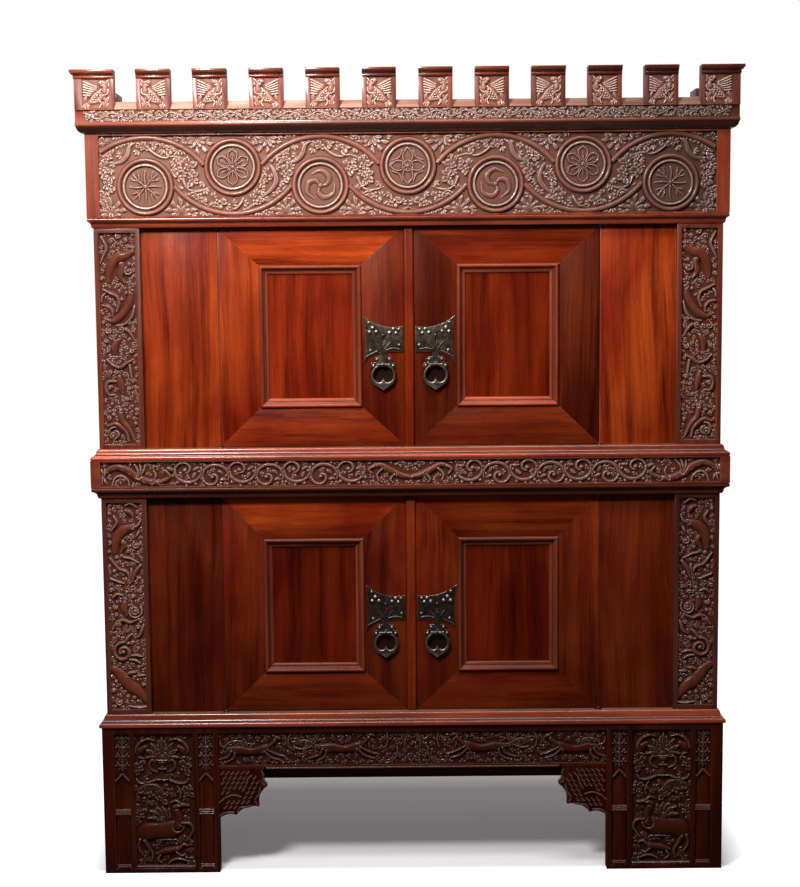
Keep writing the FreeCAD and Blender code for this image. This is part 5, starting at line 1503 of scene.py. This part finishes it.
# %% Strip of the crest
STRIP_END, BENDS = 801, 44
strip = Relief(-STRIP_END, STRIP_END, STRIP_Z + 0.3, STRIP_TOP - 0.3, 1.1)
middle_z, wave = (STRIP_Z + STRIP_TOP) / 2, 4.0 * STRIP_END / BENDS
for n in range(BENDS):
    x0, up = -STRIP_END + n * wave / 2, 1 if n % 2 else -1
    for turn, long, wide in ((1.25, 17, 8), (0.6, 19, 9), (-0.1, 15, 8), (2.0, 14, 8)):
        strip.lobe(x0 + 12, middle_z - up * 9, turn * up, long, wide, 5.2, 0.15 * up)
    strip.lobe(x0 + 31, middle_z + up * 13, -0.7 * up, 13, 7, 4.8)
    strip.boss(x0 + 27, middle_z - up * 11, 3.2, 3.2, 5.4)
winding = [(x, middle_z + 7 * math.cos(2 * math.pi * (x + STRIP_END) / wave))
           for x in np.arange(-STRIP_END, STRIP_END + 1, 6)]
strip.stroke(winding, 3.6, 4.6, 0.8, (1, 1, 1), 0.5)
strip.fill(10, 8, 4.8, 36)
seat(carved_mesh("crest_strip", [(strip, 1)], CREST_GROUND, 0.95, 5.0, "x", seed=22, fade=0.32))
print("strip:", strip.high.shape, "points")

# %% [markdown]
# The uprights carry winged serpents and leaping beasts among scrolls, drawn on the left boards from top to foot.
# Bodies and stems are listed as (width, redness, points) and curled leaves as (x, z, size). Smooth bodies are marked
# red, because handling has polished them.

# %% Beasts and scrolls of the uprights
UPPER_BODIES = [(8, 0.5, [(-772, 1647), (-764, 1632), (-760, 1617), (-767, 1600), (-776, 1581)]),
    (15, 0.9, [(-732, 1594), (-723, 1574), (-727, 1548), (-716, 1533)]),
    (25, 1.0, [(-696, 1609), (-713, 1600), (-732, 1595), (-747, 1581), (-753, 1562), (-757, 1536)]),
    (18, 0.8, [(-704, 1518), (-702, 1495), (-712, 1469), (-729, 1447), (-750, 1435), (-768, 1442)]),
    (10, 0.3, [(-770, 1515), (-754, 1506), (-737, 1497), (-732, 1480), (-738, 1460)]),
    (10, 0.3, [(-773, 1475), (-758, 1471), (-749, 1460), (-749, 1447)]),
    (7, 0.2, [(-775, 1484), (-773, 1497), (-767, 1505)]),
    (8, 0.4, [(-693, 1473), (-697, 1454), (-705, 1439), (-720, 1427), (-739, 1424)]),
    (10, 0.5, [(-726, 1419), (-709, 1409), (-696, 1389)]), (16, 0.9, [(-746, 1355), (-745, 1372), (-735, 1389)]),
    (10, 0.5, [(-765, 1338), (-752, 1325), (-733, 1318), (-716, 1329), (-700, 1338)]),
    (8, 0.4, [(-709, 1325), (-706, 1304), (-704, 1284)]),
    (10, 0.3, [(-744, 1283), (-763, 1282), (-770, 1267), (-764, 1250), (-749, 1249)]),
    (16, 0.9, [(-736, 1295), (-733, 1275), (-729, 1254)]),
    (14, 0.7, [(-728, 1221), (-735, 1203), (-730, 1181), (-715, 1162), (-701, 1134)]),
    (12, 0.6, [(-766, 1170), (-749, 1175), (-734, 1166), (-721, 1151), (-716, 1131)])]
UPPER_CURLS = [(-746, 1635, 8.2), (-729, 1649, 7.4), (-713, 1638, 6.3), (-694, 1649, 5.2), (-693, 1622, 5.2),
    (-773, 1562, 5.9), (-772, 1541, 5.9), (-706, 1561, 11.1), (-705, 1578, 4.5), (-698, 1511, 3.7), (-723, 1491, 3.7),
    (-715, 1506, 4.5), (-705, 1429, 5.2), (-759, 1412, 8.2), (-729, 1414, 8.9), (-771, 1431, 5.9), (-765, 1386, 5.6),
    (-718, 1367, 6.7), (-763, 1358, 5.6), (-701, 1361, 6.7), (-699, 1330, 4.8), (-700, 1282, 6.3), (-711, 1266, 5.2),
    (-760, 1306, 5.9), (-759, 1266, 6.7), (-732, 1213, 5.6), (-766, 1190, 6.7), (-694, 1198, 4.8), (-751, 1200, 4.5),
    (-699, 1175, 5.2), (-755, 1144, 9.6), (-716, 1239, 5.2), (-757, 1226, 4.5)]
LOWER_BODIES = [(9, 0.4, [(-760, 938), (-753, 921), (-767, 900)]), (8, 0.3, [(-730, 966), (-715, 970), (-701, 960)]),
    (14, 0.9, [(-729, 952), (-718, 946), (-712, 936)]), (14, 0.9, [(-742, 877), (-735, 863), (-743, 846)]),
    (25, 1.0, [(-710, 910), (-730, 904), (-747, 890), (-757, 867), (-760, 844)]),
    (8, 0.1, [(-711, 909), (-700, 913), (-691, 928)]), (7, 0.2, [(-696, 899), (-704, 883)]),
    (10, 0.3, [(-772, 829), (-761, 814), (-750, 801), (-732, 794), (-723, 779), (-728, 763)]),
    (10, 0.7, [(-719, 800), (-718, 779), (-725, 760)]), (11, 0.4, [(-695, 810), (-709, 790), (-718, 767)]),
    (7, 0.1, [(-773, 777), (-755, 769), (-738, 763)]), (7, 0.3, [(-740, 832), (-720, 828), (-700, 817)]),
    (9, 0.3, [(-768, 726), (-756, 735), (-742, 732)]), (17, 0.9, [(-738, 714), (-740, 696), (-734, 681)]),
    (11, 0.5, [(-770, 644), (-759, 659), (-743, 667), (-725, 661), (-702, 671)]),
    (9, 0.3, [(-691, 654), (-699, 631), (-708, 621)]), (9, 0.4, [(-739, 608), (-732, 621), (-721, 631)]),
    (8, 0.3, [(-724, 574), (-711, 575), (-698, 571)]), (8, 0.3, [(-729, 563), (-715, 562), (-702, 554)]),
    (31, 1.0, [(-770, 538), (-752, 521), (-734, 498), (-709, 479), (-688, 454)]),
    (10, 0.1, [(-735, 525), (-726, 529), (-715, 530)]), (9, 0.1, [(-710, 521), (-692, 522)]),
    (8, 0.4, [(-729, 440), (-707, 437), (-689, 439)])]
LOWER_CURLS = [(-769, 964, 4.8), (-770, 946, 4.8), (-773, 869, 5.6), (-775, 844, 4.8), (-754, 832, 4.8),
    (-744, 835, 4.5), (-726, 844, 5.2), (-705, 863, 9.7), (-701, 948, 5.2), (-771, 744, 6.7), (-711, 691, 11.1),
    (-755, 658, 5.9), (-705, 647, 6.7), (-761, 702, 6.7), (-762, 681, 5.2), (-716, 727, 6.7), (-696, 744, 5.2),
    (-734, 740, 4.5), (-720, 606, 5.9), (-705, 594, 4.5), (-707, 543, 5.2), (-772, 481, 6.7), (-758, 452, 9.3),
    (-737, 466, 4.8), (-719, 462, 5.2), (-693, 498, 5.2), (-767, 506, 4.5), (-762, 794, 5.2), (-699, 779, 5.2)]
UPPER_VOLUTES = [(-750, 1150, 20, 0.4, 1.2, 1, 8, 7.5, 0.5)]
LOWER_VOLUTES = [(-745, 583, 27, 1.0, 1.4, 1, 10, 7.5, 0.6), (-713, 690, 20, 0.6, 1.2, -1, 7, 7, 0.4)]
print("bodies and stems:", len(UPPER_BODIES), "above,", len(LOWER_BODIES), "below")

# %% [markdown]
# The lists are carved in order: scrolls, bodies, curled leaves, and small leaves on the ground that is left. The
# right boards mirror the left ones.

# %% Uprights
def volute(board, x, z, radius, start, turns, way, width, height, red):
    angles = np.linspace(0, turns * 2 * math.pi, int(14 * turns) + 2)
    board.stroke([polar(x, z, start + way * a, radius * (1 - 0.72 * a / angles[-1])) for a in angles],
                 width, height, red, (0.8, 1.0, 0.7))
    board.boss(x, z, width * 0.6, width * 0.6, height, 0.0, red)


def beasts(board, bodies, curls):
    for width, red, points in bodies:
        board.stroke(points, width, 7.6, red, (0.6, 1.0, 0.95, 0.5), 1.8)
    for n, (x, z, size) in enumerate(curls):
        curl = [polar(x, z, 2.1 * n + 0.85 * k, size * (1 - 0.12 * k)) for k in range(6)]
        board.stroke(curl, 0.95 * size, 6.8, 0.2, (0.4, 1.0, 0.9), 1.2)
        board.boss(x, z, 0.5 * size, 0.5 * size, 7.8, 0.0, 0.1)


UPRIGHT_LEFT, UPRIGHT_RIGHT, UPRIGHT_GROUND = -778, -687, -219.0
# foot and top of the field, what is carved on it, seeds of the filling leaves and the grain, tone and fading
UPRIGHTS = [("upper", 1123, 1656, UPPER_VOLUTES, UPPER_BODIES, UPPER_CURLS, 31, 23, 0.50, 1.0),
            ("lower", 433, 973, LOWER_VOLUTES, LOWER_BODIES, LOWER_CURLS, 32, 24, 0.54, 0.7)]
for stage, z0, z1, volutes, bodies, curls, fill_seed, seed, tone, fade in UPRIGHTS:
    board = Relief(UPRIGHT_LEFT, UPRIGHT_RIGHT, z0, z1, 1.2)
    for form in volutes:
        volute(board, *form)
    beasts(board, bodies, curls)
    laid = board.fill(15, 10, 5.0, fill_seed)
    seat(carved_mesh(stage + "_upright_carving", [(board, 1), (board, -1)], UPRIGHT_GROUND, tone, 8.0, seed=seed,
                     fade=fade), carved_red)
    print(stage, "uprights:", laid, "filling leaves")

# %% [markdown]
# Along the waist two serpents close the ends and two beasts meet in the middle, with rolling scrolls between them.

# %% Waist
LIMB, WAIST_GROUND = (1, 0.8, 0.5), -241.0
# points, width, height, redness, taper and cleared ground of the strokes on one half
SERPENT = [
    ([(784, 1036), (770, 1056), (744, 1066), (718, 1058), (694, 1040), (664, 1028), (630, 1026)],
     19, 7.4, 1.0, (0.35, 0.8, 1.0, 1.0, 0.7), 1.6),
    ([(758, 1018), (750, 1038), (734, 1044), (718, 1034), (714, 1019)], 6.5, 6.4, 0.4, (0.6, 1, 0.6)),
    ([(632, 1028), (612, 1040), (618, 1056)], 11, 7.2, 1.0, (1, 0.9, 0.8))]
SERPENT_SCALES = ((768, 1053), (750, 1063), (730, 1062), (712, 1052), (696, 1041), (676, 1032), (656, 1028))
BEAST = [([(4, 1036), (24, 1040), (50, 1052), (74, 1066), (92, 1064)], 17, 7.6, 1.0, (0.6, 0.85, 1.0, 0.8, 0.6)),
    ([(92, 1064), (104, 1056), (98, 1044)], 9, 7, 1.0, (1, 0.9, 0.7)),
    ([(70, 1058), (84, 1042), (80, 1026)], 7, 6.5, 1.0, LIMB),
    ([(40, 1044), (50, 1030), (44, 1021)], 7, 6.5, 1.0, LIMB)]


def feathers(board, root, tips, width, height):
    for tip in tips:
        middle = ((root[0] + tip[0]) / 2 + (tip[1] - root[1]) * 0.10,
                  (root[1] + tip[1]) / 2 - (tip[0] - root[0]) * 0.10)
        board.stroke([root, middle, tip], width, height, 0.1, (0.6, 1.0, 0.4), 0.8)


def facing(turn, side):
    return turn if side > 0 else math.pi - turn


waist = Relief(*WAIST_FIELD, 1.25)
mid = (WAIST_Z + WAIST_TOP) / 2
for side in (-1, 1):
    def spot(x, z):
        return side * x, z

    for n, x0 in enumerate(np.arange(150, 566, 69.0)):
        up = 1 if n % 2 else -1
        for t in np.linspace(0.3, 2.6, 5):
            root = spot(x0 + 30 * math.cos(t), mid + up * (22 * math.sin(t) - 5))
            waist.lobe(*root, facing(t, side) * up, 16, 9, 6.0)
        arc = [(x0 + 34 * math.cos(t), mid - up * 8 + up * 30 * math.sin(t))
               for t in np.linspace(math.pi * 1.08, -0.35, 10)]
        curl = [(x0 + 8 + r * math.cos(t), mid - up * 9 + up * r * math.sin(t))
                for r, t in zip(np.linspace(24, 6, 12), np.linspace(-0.35, -4.6, 12))]
        waist.strokes([(arc, 8.5, 6.4, 0.45, (0.5, 0.9, 1, 0.8), 1.6, 1.6), (curl, 7.5, 6.6, 0.6, (0.9, 1, 0.7), 1.4)],
                      spot)
        waist.boss(*spot(x0 + 8, mid - up * 9), 5.5, 5.5, 7.0, 0.0, 0.5)
        waist.lobe(*spot(x0 - 20, mid - up * 4), facing(0.9, side) * up, 17, 9, 6.2, 0.2, 0.3)
        waist.lobe(*spot(x0 - 30, mid - up * 16), facing(0.2, side) * up, 18, 9, 6.0, 0.2)
    waist.strokes(SERPENT, spot)
    waist.boss(*spot(610, 1060), 10, 6, 7.4, side * 0.4, 1.0)
    for place in SERPENT_SCALES:
        waist.boss(*spot(*place), 2.2, 2.2, 8.0, 0, 1.0, 0.2)
    feathers(waist, spot(690, 1040), [spot(*tip) for tip in ((672, 1074), (686, 1076), (700, 1074))], 6.5, 6)
    waist.strokes([([(656, 1026), (646, 1044), (652, 1058)], 6, 6, 0.9)], spot)
    waist.cluster(*spot(735, 1026), 1.57, 15, 6, 5, 2.6, 0.3)
    feathers(waist, spot(778, 1040), [spot(*tip) for tip in ((784, 1060), (776, 1062), (770, 1024), (782, 1022))], 6, 6)
    waist.strokes(BEAST, spot)
    waist.cluster(*spot(24, 1064), 1.57, 16, 6, 5, 2.8)
    waist.cluster(*spot(118, 1050), facing(0.0, side), 18, 6, 5, 3.0)
laid = waist.fill(18, 11, 5.0, 33)
seat(carved_mesh("waist_carving", [(waist, 1)], WAIST_GROUND, 0.50, 7.2, "x", seed=25), carved_red)
print("waist:", waist.high.shape, "points,", laid, "filling leaves")

# %% [markdown]
# Four running beasts cross the apron with scrolling leaves between them. One is drawn, set twice on each side and
# turned towards the middle. They are cut again after the leaves, so that their outlines stay clear.

# %% Apron
BASE_GROUND, APRON_Z = -231.0, 328
# root, heading in degrees, length and curl of the leafy stems on one half
TENDRILS = ((300, 200, 90, -1.3), (318, 60, 80, 1.5), (70, 120, 92, -1.1), (40, 250, 60, 1.8), (490, 110, 60, 1.6),
    (250, 70, 56, -1.6), (110, 60, 60, 1.4), (20, 80, 50, 1.0))
TRUNK = [([(-62, 4), (-34, 2), (0, -2), (34, 4), (52, 12)], 27, 7.4, 1.0, (0.6, 0.95, 0.7, 0.95, 0.7)),
    ([(50, 12), (64, 26), (68, 36)], 13, 7.2, 1.0, (1.0, 0.8, 0.7))]
LEGS = [([(44, 4), (66, -8), (92, -16)], 8, 6.5, 1.0, LIMB), ([(36, 0), (54, -18), (80, -27)], 8, 6.3, 1.0, LIMB),
    ([(-56, 0), (-66, -16), (-92, -25)], 10, 6.6, 1.0, LIMB),
    ([(-46, -4), (-50, -20), (-70, -32)], 9, 6.3, 1.0, LIMB), ([(-66, 8), (-84, 16), (-88, 32)], 5, 6, 1.0)]


def running(board, x, z, way, size):
    def spot(u, v):
        return x + way * u * size, z + v * size

    def sized(rows):
        return [(points, width * size, *form) for points, width, *form in rows]

    board.strokes(sized(TRUNK), spot)
    board.boss(*spot(73, 37), 11 * size, 5.5 * size, 7.4, -way * 0.35, 1.0)
    board.stroke([spot(66, 41), spot(57, 46)], 5, 6, 1.0)
    board.strokes(sized(LEGS), spot)


def beast_pair(side):
    running(apron, side * 418, 322, -side, 0.93)
    running(apron, side * 178, 326, -side, 0.98)


apron = Relief(-503, 503, 285, 370, 1.25)
for side in (-1, 1):
    beast_pair(side)
    for x0, heading, long, curl in TENDRILS:
        turn = heading if side > 0 else 180 - heading
        apron.tendril(side * x0, APRON_Z, turn, long, side * curl, 4.6, 5.5, 4, 17, 0.5, side)
for side in (-1, 1):
    beast_pair(side)
laid = apron.fill(19, 12, 5.0, 34)
seat(carved_mesh("apron_carving", [(apron, 1)], BASE_GROUND, 0.19, 7.2, "x", seed=26), carved_dark)
print("apron:", laid, "filling leaves")

# %% [markdown]
# Each foot shows a two-handled vase of flowers over a stag that looks back towards the middle, between two little
# buttresses whose gables carry foliage. Each stroke is listed as its points, width, height, redness, taper, cleared
# ground and groove.

# %% Vase and stag
HALF_VASE = [
    ([(20, 352), (36, 356), (54, 348), (66, 330), (62, 312), (50, 304)], 9, 7.5, 0.4, (0.5, 1, 1, 0.6), 1.4, 1.2),
    ([(44, 334), (54, 326), (60, 316)], 19, 8.6, 1.0, (0.6, 1.0, 0.6), 1.4),
    ([(17, 296), (26, 300), (33, 290), (30, 276), (14, 268)], 8, 6.0, 0.5, (0.6, 1.0, 1.0, 0.9, 0.5), 1.2),
    ([(10, 252), (26, 244), (44, 238), (60, 240), (68, 250)], 8, 7.6, 0.4, (0.7, 1, 0.9, 0.4), 1.2)]
VASE = [([(0, 302), (0, 294), (0, 286), (0, 279)], 27, 8.0, 0.9, (1.0, 0.9, 0.55, 0.3), 1.3),
    ([(0, 282), (0, 270)], 9, 7.0, 0.9, (1, 1), 1.0),
    ([(0, 272), (0, 264), (0, 258), (0, 254)], 22, 7.0, 0.9, (0.3, 0.5, 0.8, 1.0), 1.3),
    ([(-15, 249), (15, 249)], 5, 8.0, 0.9, (1, 1, 1)), ([(-14, 301), (14, 301)], 4.5, 9.0, 0.4, (1, 1, 1)),
    ([(-9, 277), (9, 277)], 4.5, 9.0, 0.4, (1, 1, 1))]
ARCH = [([(-718, 206), (-708, 224), (-688, 234), (-664, 230), (-650, 214)], 10, 7.6, 0.4, (0.5, 1, 1, 0.5), 1.4, 1.4)]
SPRIG = [([(-612, 232), (-604, 214), (-606, 196)], 6.5, 7.0, 0.3, (0.6, 1, 0.6))]
STAG = [
    ([(-708, 92), (-694, 106), (-664, 110), (-634, 112), (-610, 122)], 50, 9.4, 1.0, (0.5, 0.95, 0.85, 0.95, 0.7), 2.0),
    ([(-612, 122), (-610, 144), (-616, 168)], 23, 9.2, 1.0, (1.0, 0.8, 0.7), 1.6),
    ([(-620, 174), (-604, 180), (-584, 178)], 13, 9.4, 1.0, (0.8, 1.0, 0.6)),
    ([(-606, 184), (-616, 192), (-632, 186)], 6, 8.4, 0.4, (1, 0.8, 0.4)),
    ([(-602, 132), (-582, 130), (-573, 114), (-580, 98), (-592, 84)], 9.5, 8.4, 0.9, (0.9, 1.0, 0.8, 0.5), 1.4),
    ([(-700, 84), (-690, 66), (-680, 48), (-684, 28)], 12, 8.4, 0.9, (1.0, 0.8, 0.6, 0.5), 1.4),
    ([(-712, 88), (-716, 66), (-706, 46)], 10, 8.0, 0.9, (1.0, 0.8, 0.5), 1.2),
    ([(-662, 86), (-640, 88), (-616, 86)], 5, 7.2, 0.3, (0.5, 1, 0.5)),
    ([(-668, 50), (-646, 56), (-622, 60), (-606, 66)], 17, 8.6, 1.0, (0.5, 1.0, 0.9, 0.6), 1.6),
    ([(-608, 66), (-598, 74), (-586, 70)], 9, 8.4, 1.0, (1.0, 0.9, 0.5)),
    ([(-660, 46), (-666, 34), (-656, 24)], 6.5, 7.4, 0.5, (1, 0.9, 0.5)),
    ([(-618, 54), (-606, 44), (-596, 46)], 6.5, 7.4, 0.5, (1, 0.9, 0.5)),
    ([(-590, 30), (-612, 36), (-632, 30), (-640, 20)], 6.5, 7.4, 0.5, (1, 0.9, 0.5))]
print("vase:", len(VASE) + 2 * len(HALF_VASE), "strokes, stag:", len(STAG))

# %% [markdown]
# The left foot is carved from top to bottom, leaves under the forms that cross them, and the right foot mirrors it.

# %% Feet
FOOT_MIDDLE, UPWARD = -650, 1.57
foot = Relief(-721, -568, 12, 372, 1.3)
for side in (-1, 1):
    for turn, long in ((1.25, 46), (0.75, 44), (0.25, 40)):
        foot.leaf(FOOT_MIDDLE + side * 4, 306, facing(turn, side), long, 17, 7.5, 4, -0.25 * side)
    foot.strokes(HALF_VASE, lambda x, z: (FOOT_MIDDLE + side * x, z))
    foot.cluster(FOOT_MIDDLE + side * 54, 276, 0.5 if side > 0 else 2.64, 26, 7, 6, 3.6)
    foot.cluster(FOOT_MIDDLE + side * 56, 226, -1.2 if side > 0 else -1.94, 24, 7, 6, 3.4)
foot.leaf(FOOT_MIDDLE, 304, UPWARD, 58, 20, 8, 5)
foot.strokes(VASE, lambda x, z: (FOOT_MIDDLE + x, z))
foot.strokes(ARCH)
foot.cluster(-684, 206, 1.2, 30, 7.4, 7, 3.6)
foot.cluster(-660, 196, 0.6, 26, 7.2, 6, 3.2)
foot.strokes(SPRIG)
foot.cluster(-588, 206, 0.9, 22, 6.8, 5, 3.0)
for turn, long in ((2.85, 52), (2.45, 54), (2.05, 46), (1.65, 34)):
    foot.leaf(-640, 138, turn, long, 19, 7.4, 4, 0.15)
foot.cluster(-704, 150, 2.4, 24, 7, 6, 3.4)
foot.strokes(STAG)
foot.cluster(-586, 24, 0.8, 20, 6.6, 5, 2.8)
foot.stroke([(-720, 16), (-570, 16)], 5, 7.5, 0.3, (1, 1, 1), 0.5)
laid = foot.fill(21, 14, 5.5, 35)
maps = [foot]
for low, high in ((-773, -733), (-556, -516)):
    gable, middle = Relief(low, high, 270, 371, 1.2), (low + high) / 2
    for z in (276, 300, 324, 348):
        for side in (-1, 1):
            gable.leaf(middle, z, UPWARD - side * 0.85, 23, 11, 6, 3, side * 0.25)
        gable.leaf(middle, z + 4, UPWARD, 21, 9, 6.5, 3)
    gable.stroke([(middle, 271), (middle, 366)], 4, 5, 0.3, (1, 1, 0.8), 0.5)
    maps.append(gable)
boards = [(board, way) for board in maps for way in (1, -1)]
seat(carved_mesh("foot_carving", boards, BASE_GROUND, 0.20, 8.5, seed=27), carved_dark)
print("feet:", laid, "filling leaves")

# %% [markdown]
# The brackets under the apron are cut like half leaves: beads follow the scalloped edge, two arcs run inside it, and
# rows of short strokes fill what is left. Straight lines mark the gables and feet of the buttresses and the foot of
# the apron. All are paths, so the stem's node tree sweeps them.

# %% Ribs of the brackets
BRACKET_FACE, FOOT_FACE, STROKE_STEP, BUTTRESSES = -239.0, -241.0, 13, (753, 536)
BUTTRESS_LINES = ((19, 158), (19, 163), (19, 168), (17, 22), (17, 17))
ribs = [[(392, 270), (386, 254), (392, 240), (384, 232)], [(396, 228), (400, 208), (410, 194), (406, 180)],
    [(418, 178), (434, 174), (450, 172), (456, 160)], [(466, 160), (480, 160), (492, 158), (502, 150)],
    [(503, 186), (484, 201), (464, 206), (446, 201)], [(442, 216), (433, 232), (428, 248), (416, 260)]]
outline = [(385, 278), (377, 229), (400, 174), (459, 152), (504, 142)]
veins = [point for rib in ribs for point in smooth_path(rib, 5)]


def inward(x, z, start, end):
    """Distance of a point inside one side of the outline."""
    (ax, az), (bx, bz) = start, end
    return ((bx - ax) * (z - az) - (bz - az) * (x - ax)) / math.hypot(bx - ax, bz - az)


for row, z in enumerate(range(265, 150, -STROKE_STEP)):
    for x in range(498 - 6 * (row % 2), 384, -STROKE_STEP):
        stroke = [(x, z - 4), (x - 5, z - 1), (x - 9, z + 5)]
        clear = min(math.dist(point, vein) for point in stroke for vein in veins)
        inside = min(inward(*point, *ends) for point in stroke for ends in zip(outline, outline[1:]))
        if clear > 6 and inside > 7:
            ribs.append(stroke)
lines = []
for middle in BUTTRESSES:
    lines += [[(middle - 17, 247), (middle, 266)], [(middle, 266), (middle + 17, 247)]]
    lines += [[(middle - half, z), (middle + half, z)] for half, z in BUTTRESS_LINES]
lines.append([(0, 278), (380, 278)])
runs = [[(side * x, face, z) for x, z in smooth_path(path, 5)] for side in (-1, 1)
        for paths, face in ((ribs, BRACKET_FACE + 0.4), (lines, FOOT_FACE + 1.2)) for path in paths]
rib_mesh, places = swept("bracket_ribs", runs, 5.0, 4.6, carved_dark)
ones = np.ones(len(places))
# painted highlight and rubbing all along the ribs, at half strength
write_marks(rib_mesh, places, 0.20 * ones, relief=ones, hollow=0 * ones, ridge=0.5 * ones, red=0.5 * ones)
seat(rib_mesh, carved_dark)
print("brackets:", 2 * len(ribs), "ribs; buttresses and apron:", 2 * len(lines), "lines")

# %% [markdown]
# The studio is plain: a pale floor that runs out of sight and a white surround for the camera, which give only a
# little light themselves. What the polish reflects from the room in front is kept dark, as it is in a studio, so the
# dark doors stay saturated.

# %% Floor and surround
DARK_FLOOR, PALE_FLOOR, PALER_FLOOR = (0.12, 0.115, 0.112), (0.84, 0.83, 0.835), (0.88, 0.87, 0.875)
FLOOR_SHADE, FLOOR_GLOW, BLACK = (0.135, 0.124, 0.125), (0.95, 0.945, 0.947), (0.0, 0.0, 0.0)
ROOM_FILL, ROOM_DARK, ROOM_WHITE = (0.13, 0.13, 0.135), (0.02, 0.02, 0.02), (1, 0.995, 0.998)


def seen_by_camera(wire, behind):
    """One for the camera, and for what is mirrored from behind the cupboard."""
    path = wire.add("LightPath")
    mirror = wire.times(wire.most(path["Is Glossy Ray"], path["Is Transmission Ray"]), behind)
    return wire.most(path["Is Camera Ray"], mirror), path["Is Glossy Ray"]


floor_mesh = bpy.data.meshes.new("floor")
floor_mesh.from_pydata([(-30, -30, 0), (30, -30, 0), (30, 30, 0), (-30, 30, 0)], [], [(0, 1, 2, 3)])
floor = bpy.data.objects.new("floor", floor_mesh)
bpy.context.scene.collection.objects.link(floor)
pale, wire, shader = new_finish("pale_floor")
place = wire.add("TexCoord")["Object"]
x, y, _ = wire.axes(place)
seen, _ = seen_by_camera(wire, wire.ramp(y, 0.3, 1.2))
away = wire.most(wire.ramp(wire.maths("ABSOLUTE", x), 0.80, 0.92),
                 wire.most(wire.ramp(y, 0.4, 1.2), wire.ramp(y, -0.21, -0.27)))
tint = wire.mix(wire.noise(place, 3.0, 3.0), PALE_FLOOR, PALER_FLOOR)
glow = wire.mix(away, FLOOR_SHADE, FLOOR_GLOW)
fed(wire.tree, shader, {"Base Color": wire.mix(seen, DARK_FLOOR, tint), "Roughness": 0.8, "Specular IOR Level": 0.1,
                        "Emission Color": wire.mix(seen, BLACK, glow), "Emission Strength": 1.0})
floor_mesh.materials.append(pale)
world = bpy.context.scene.world or bpy.data.worlds.new("surround")
bpy.context.scene.world = world
world.use_nodes = True
wire = Wiring(world.node_tree)
heading = wire.axes(wire.add("TexCoord")["Generated"])[1]
seen, glossy = seen_by_camera(wire, wire.times(wire.ramp(heading, 0.0, 0.35), 0.3))
colour = wire.mix(seen, wire.mix(glossy, ROOM_FILL, ROOM_DARK), ROOM_WHITE)
fed(wire.tree, world.node_tree.nodes["Background"], {"Color": colour, "Strength": 1.0})
print("studio: floor and surround")

# %% [markdown]
# Two soft lamps do the lighting: a small one up on the left, which gives the carving its relief, and a long one
# overhead, which lights the front evenly.

# %% Lamps
def lamp(name, place, target, size, power):
    data = bpy.data.lights.new(name, "AREA")
    data.shape = "ELLIPSE"
    data.size, data.size_y = size
    data.energy = power
    made = bpy.data.objects.new(name, data)
    made.location = place
    aim = Vector(np.array(target) - np.array(place))
    made.rotation_euler = aim.to_track_quat("-Z", "Y").to_euler()
    bpy.context.scene.collection.objects.link(made)


lamp("lamp_upper_left", (-0.90, -1.95, 2.75), (-0.1, -0.2, 1.6), (0.6, 0.5), 66)
lamp("lamp_overhead", (0.3, -2.0, 4.4), (0.0, -0.9, 0.0), (3.2, 0.6), 80)
print("lamps: 2")

# %% [markdown]
# The camera stands where the photograph was taken: near the middle line, four metres off and a hand above the upper
# locks. It is tipped down by about six degrees and tilted by half a degree.

# %% Camera
EYE, DOWN, TILT, LENS, SENSOR = (-0.0256, -4.010, 1.4972), 0.0996, -0.0088, 60.65, 36.0
eye = bpy.data.cameras.new("camera")
eye.lens, eye.sensor_width = LENS, SENSOR
camera = bpy.data.objects.new("camera", eye)
ahead = Vector((0.0, math.cos(DOWN), -math.sin(DOWN)))
right = Vector((1.0, 0.0, 0.0))
up = right.cross(ahead)
level_x = math.cos(TILT) * right + math.sin(TILT) * up
level_y = -math.sin(TILT) * right + math.cos(TILT) * up
rows = [(level_x[i], level_y[i], -ahead[i], EYE[i]) for i in range(3)]
camera.matrix_world = Matrix(rows + [(0, 0, 0, 1)])
bpy.context.scene.collection.objects.link(camera)
bpy.context.scene.camera = camera
bpy.context.scene.view_settings.view_transform = "Standard"
print("camera:", [round(v, 3) for v in camera.location])

# %% [markdown]
# At the end the view layer is brought up to date.

# %% The end
bpy.context.view_layer.update()
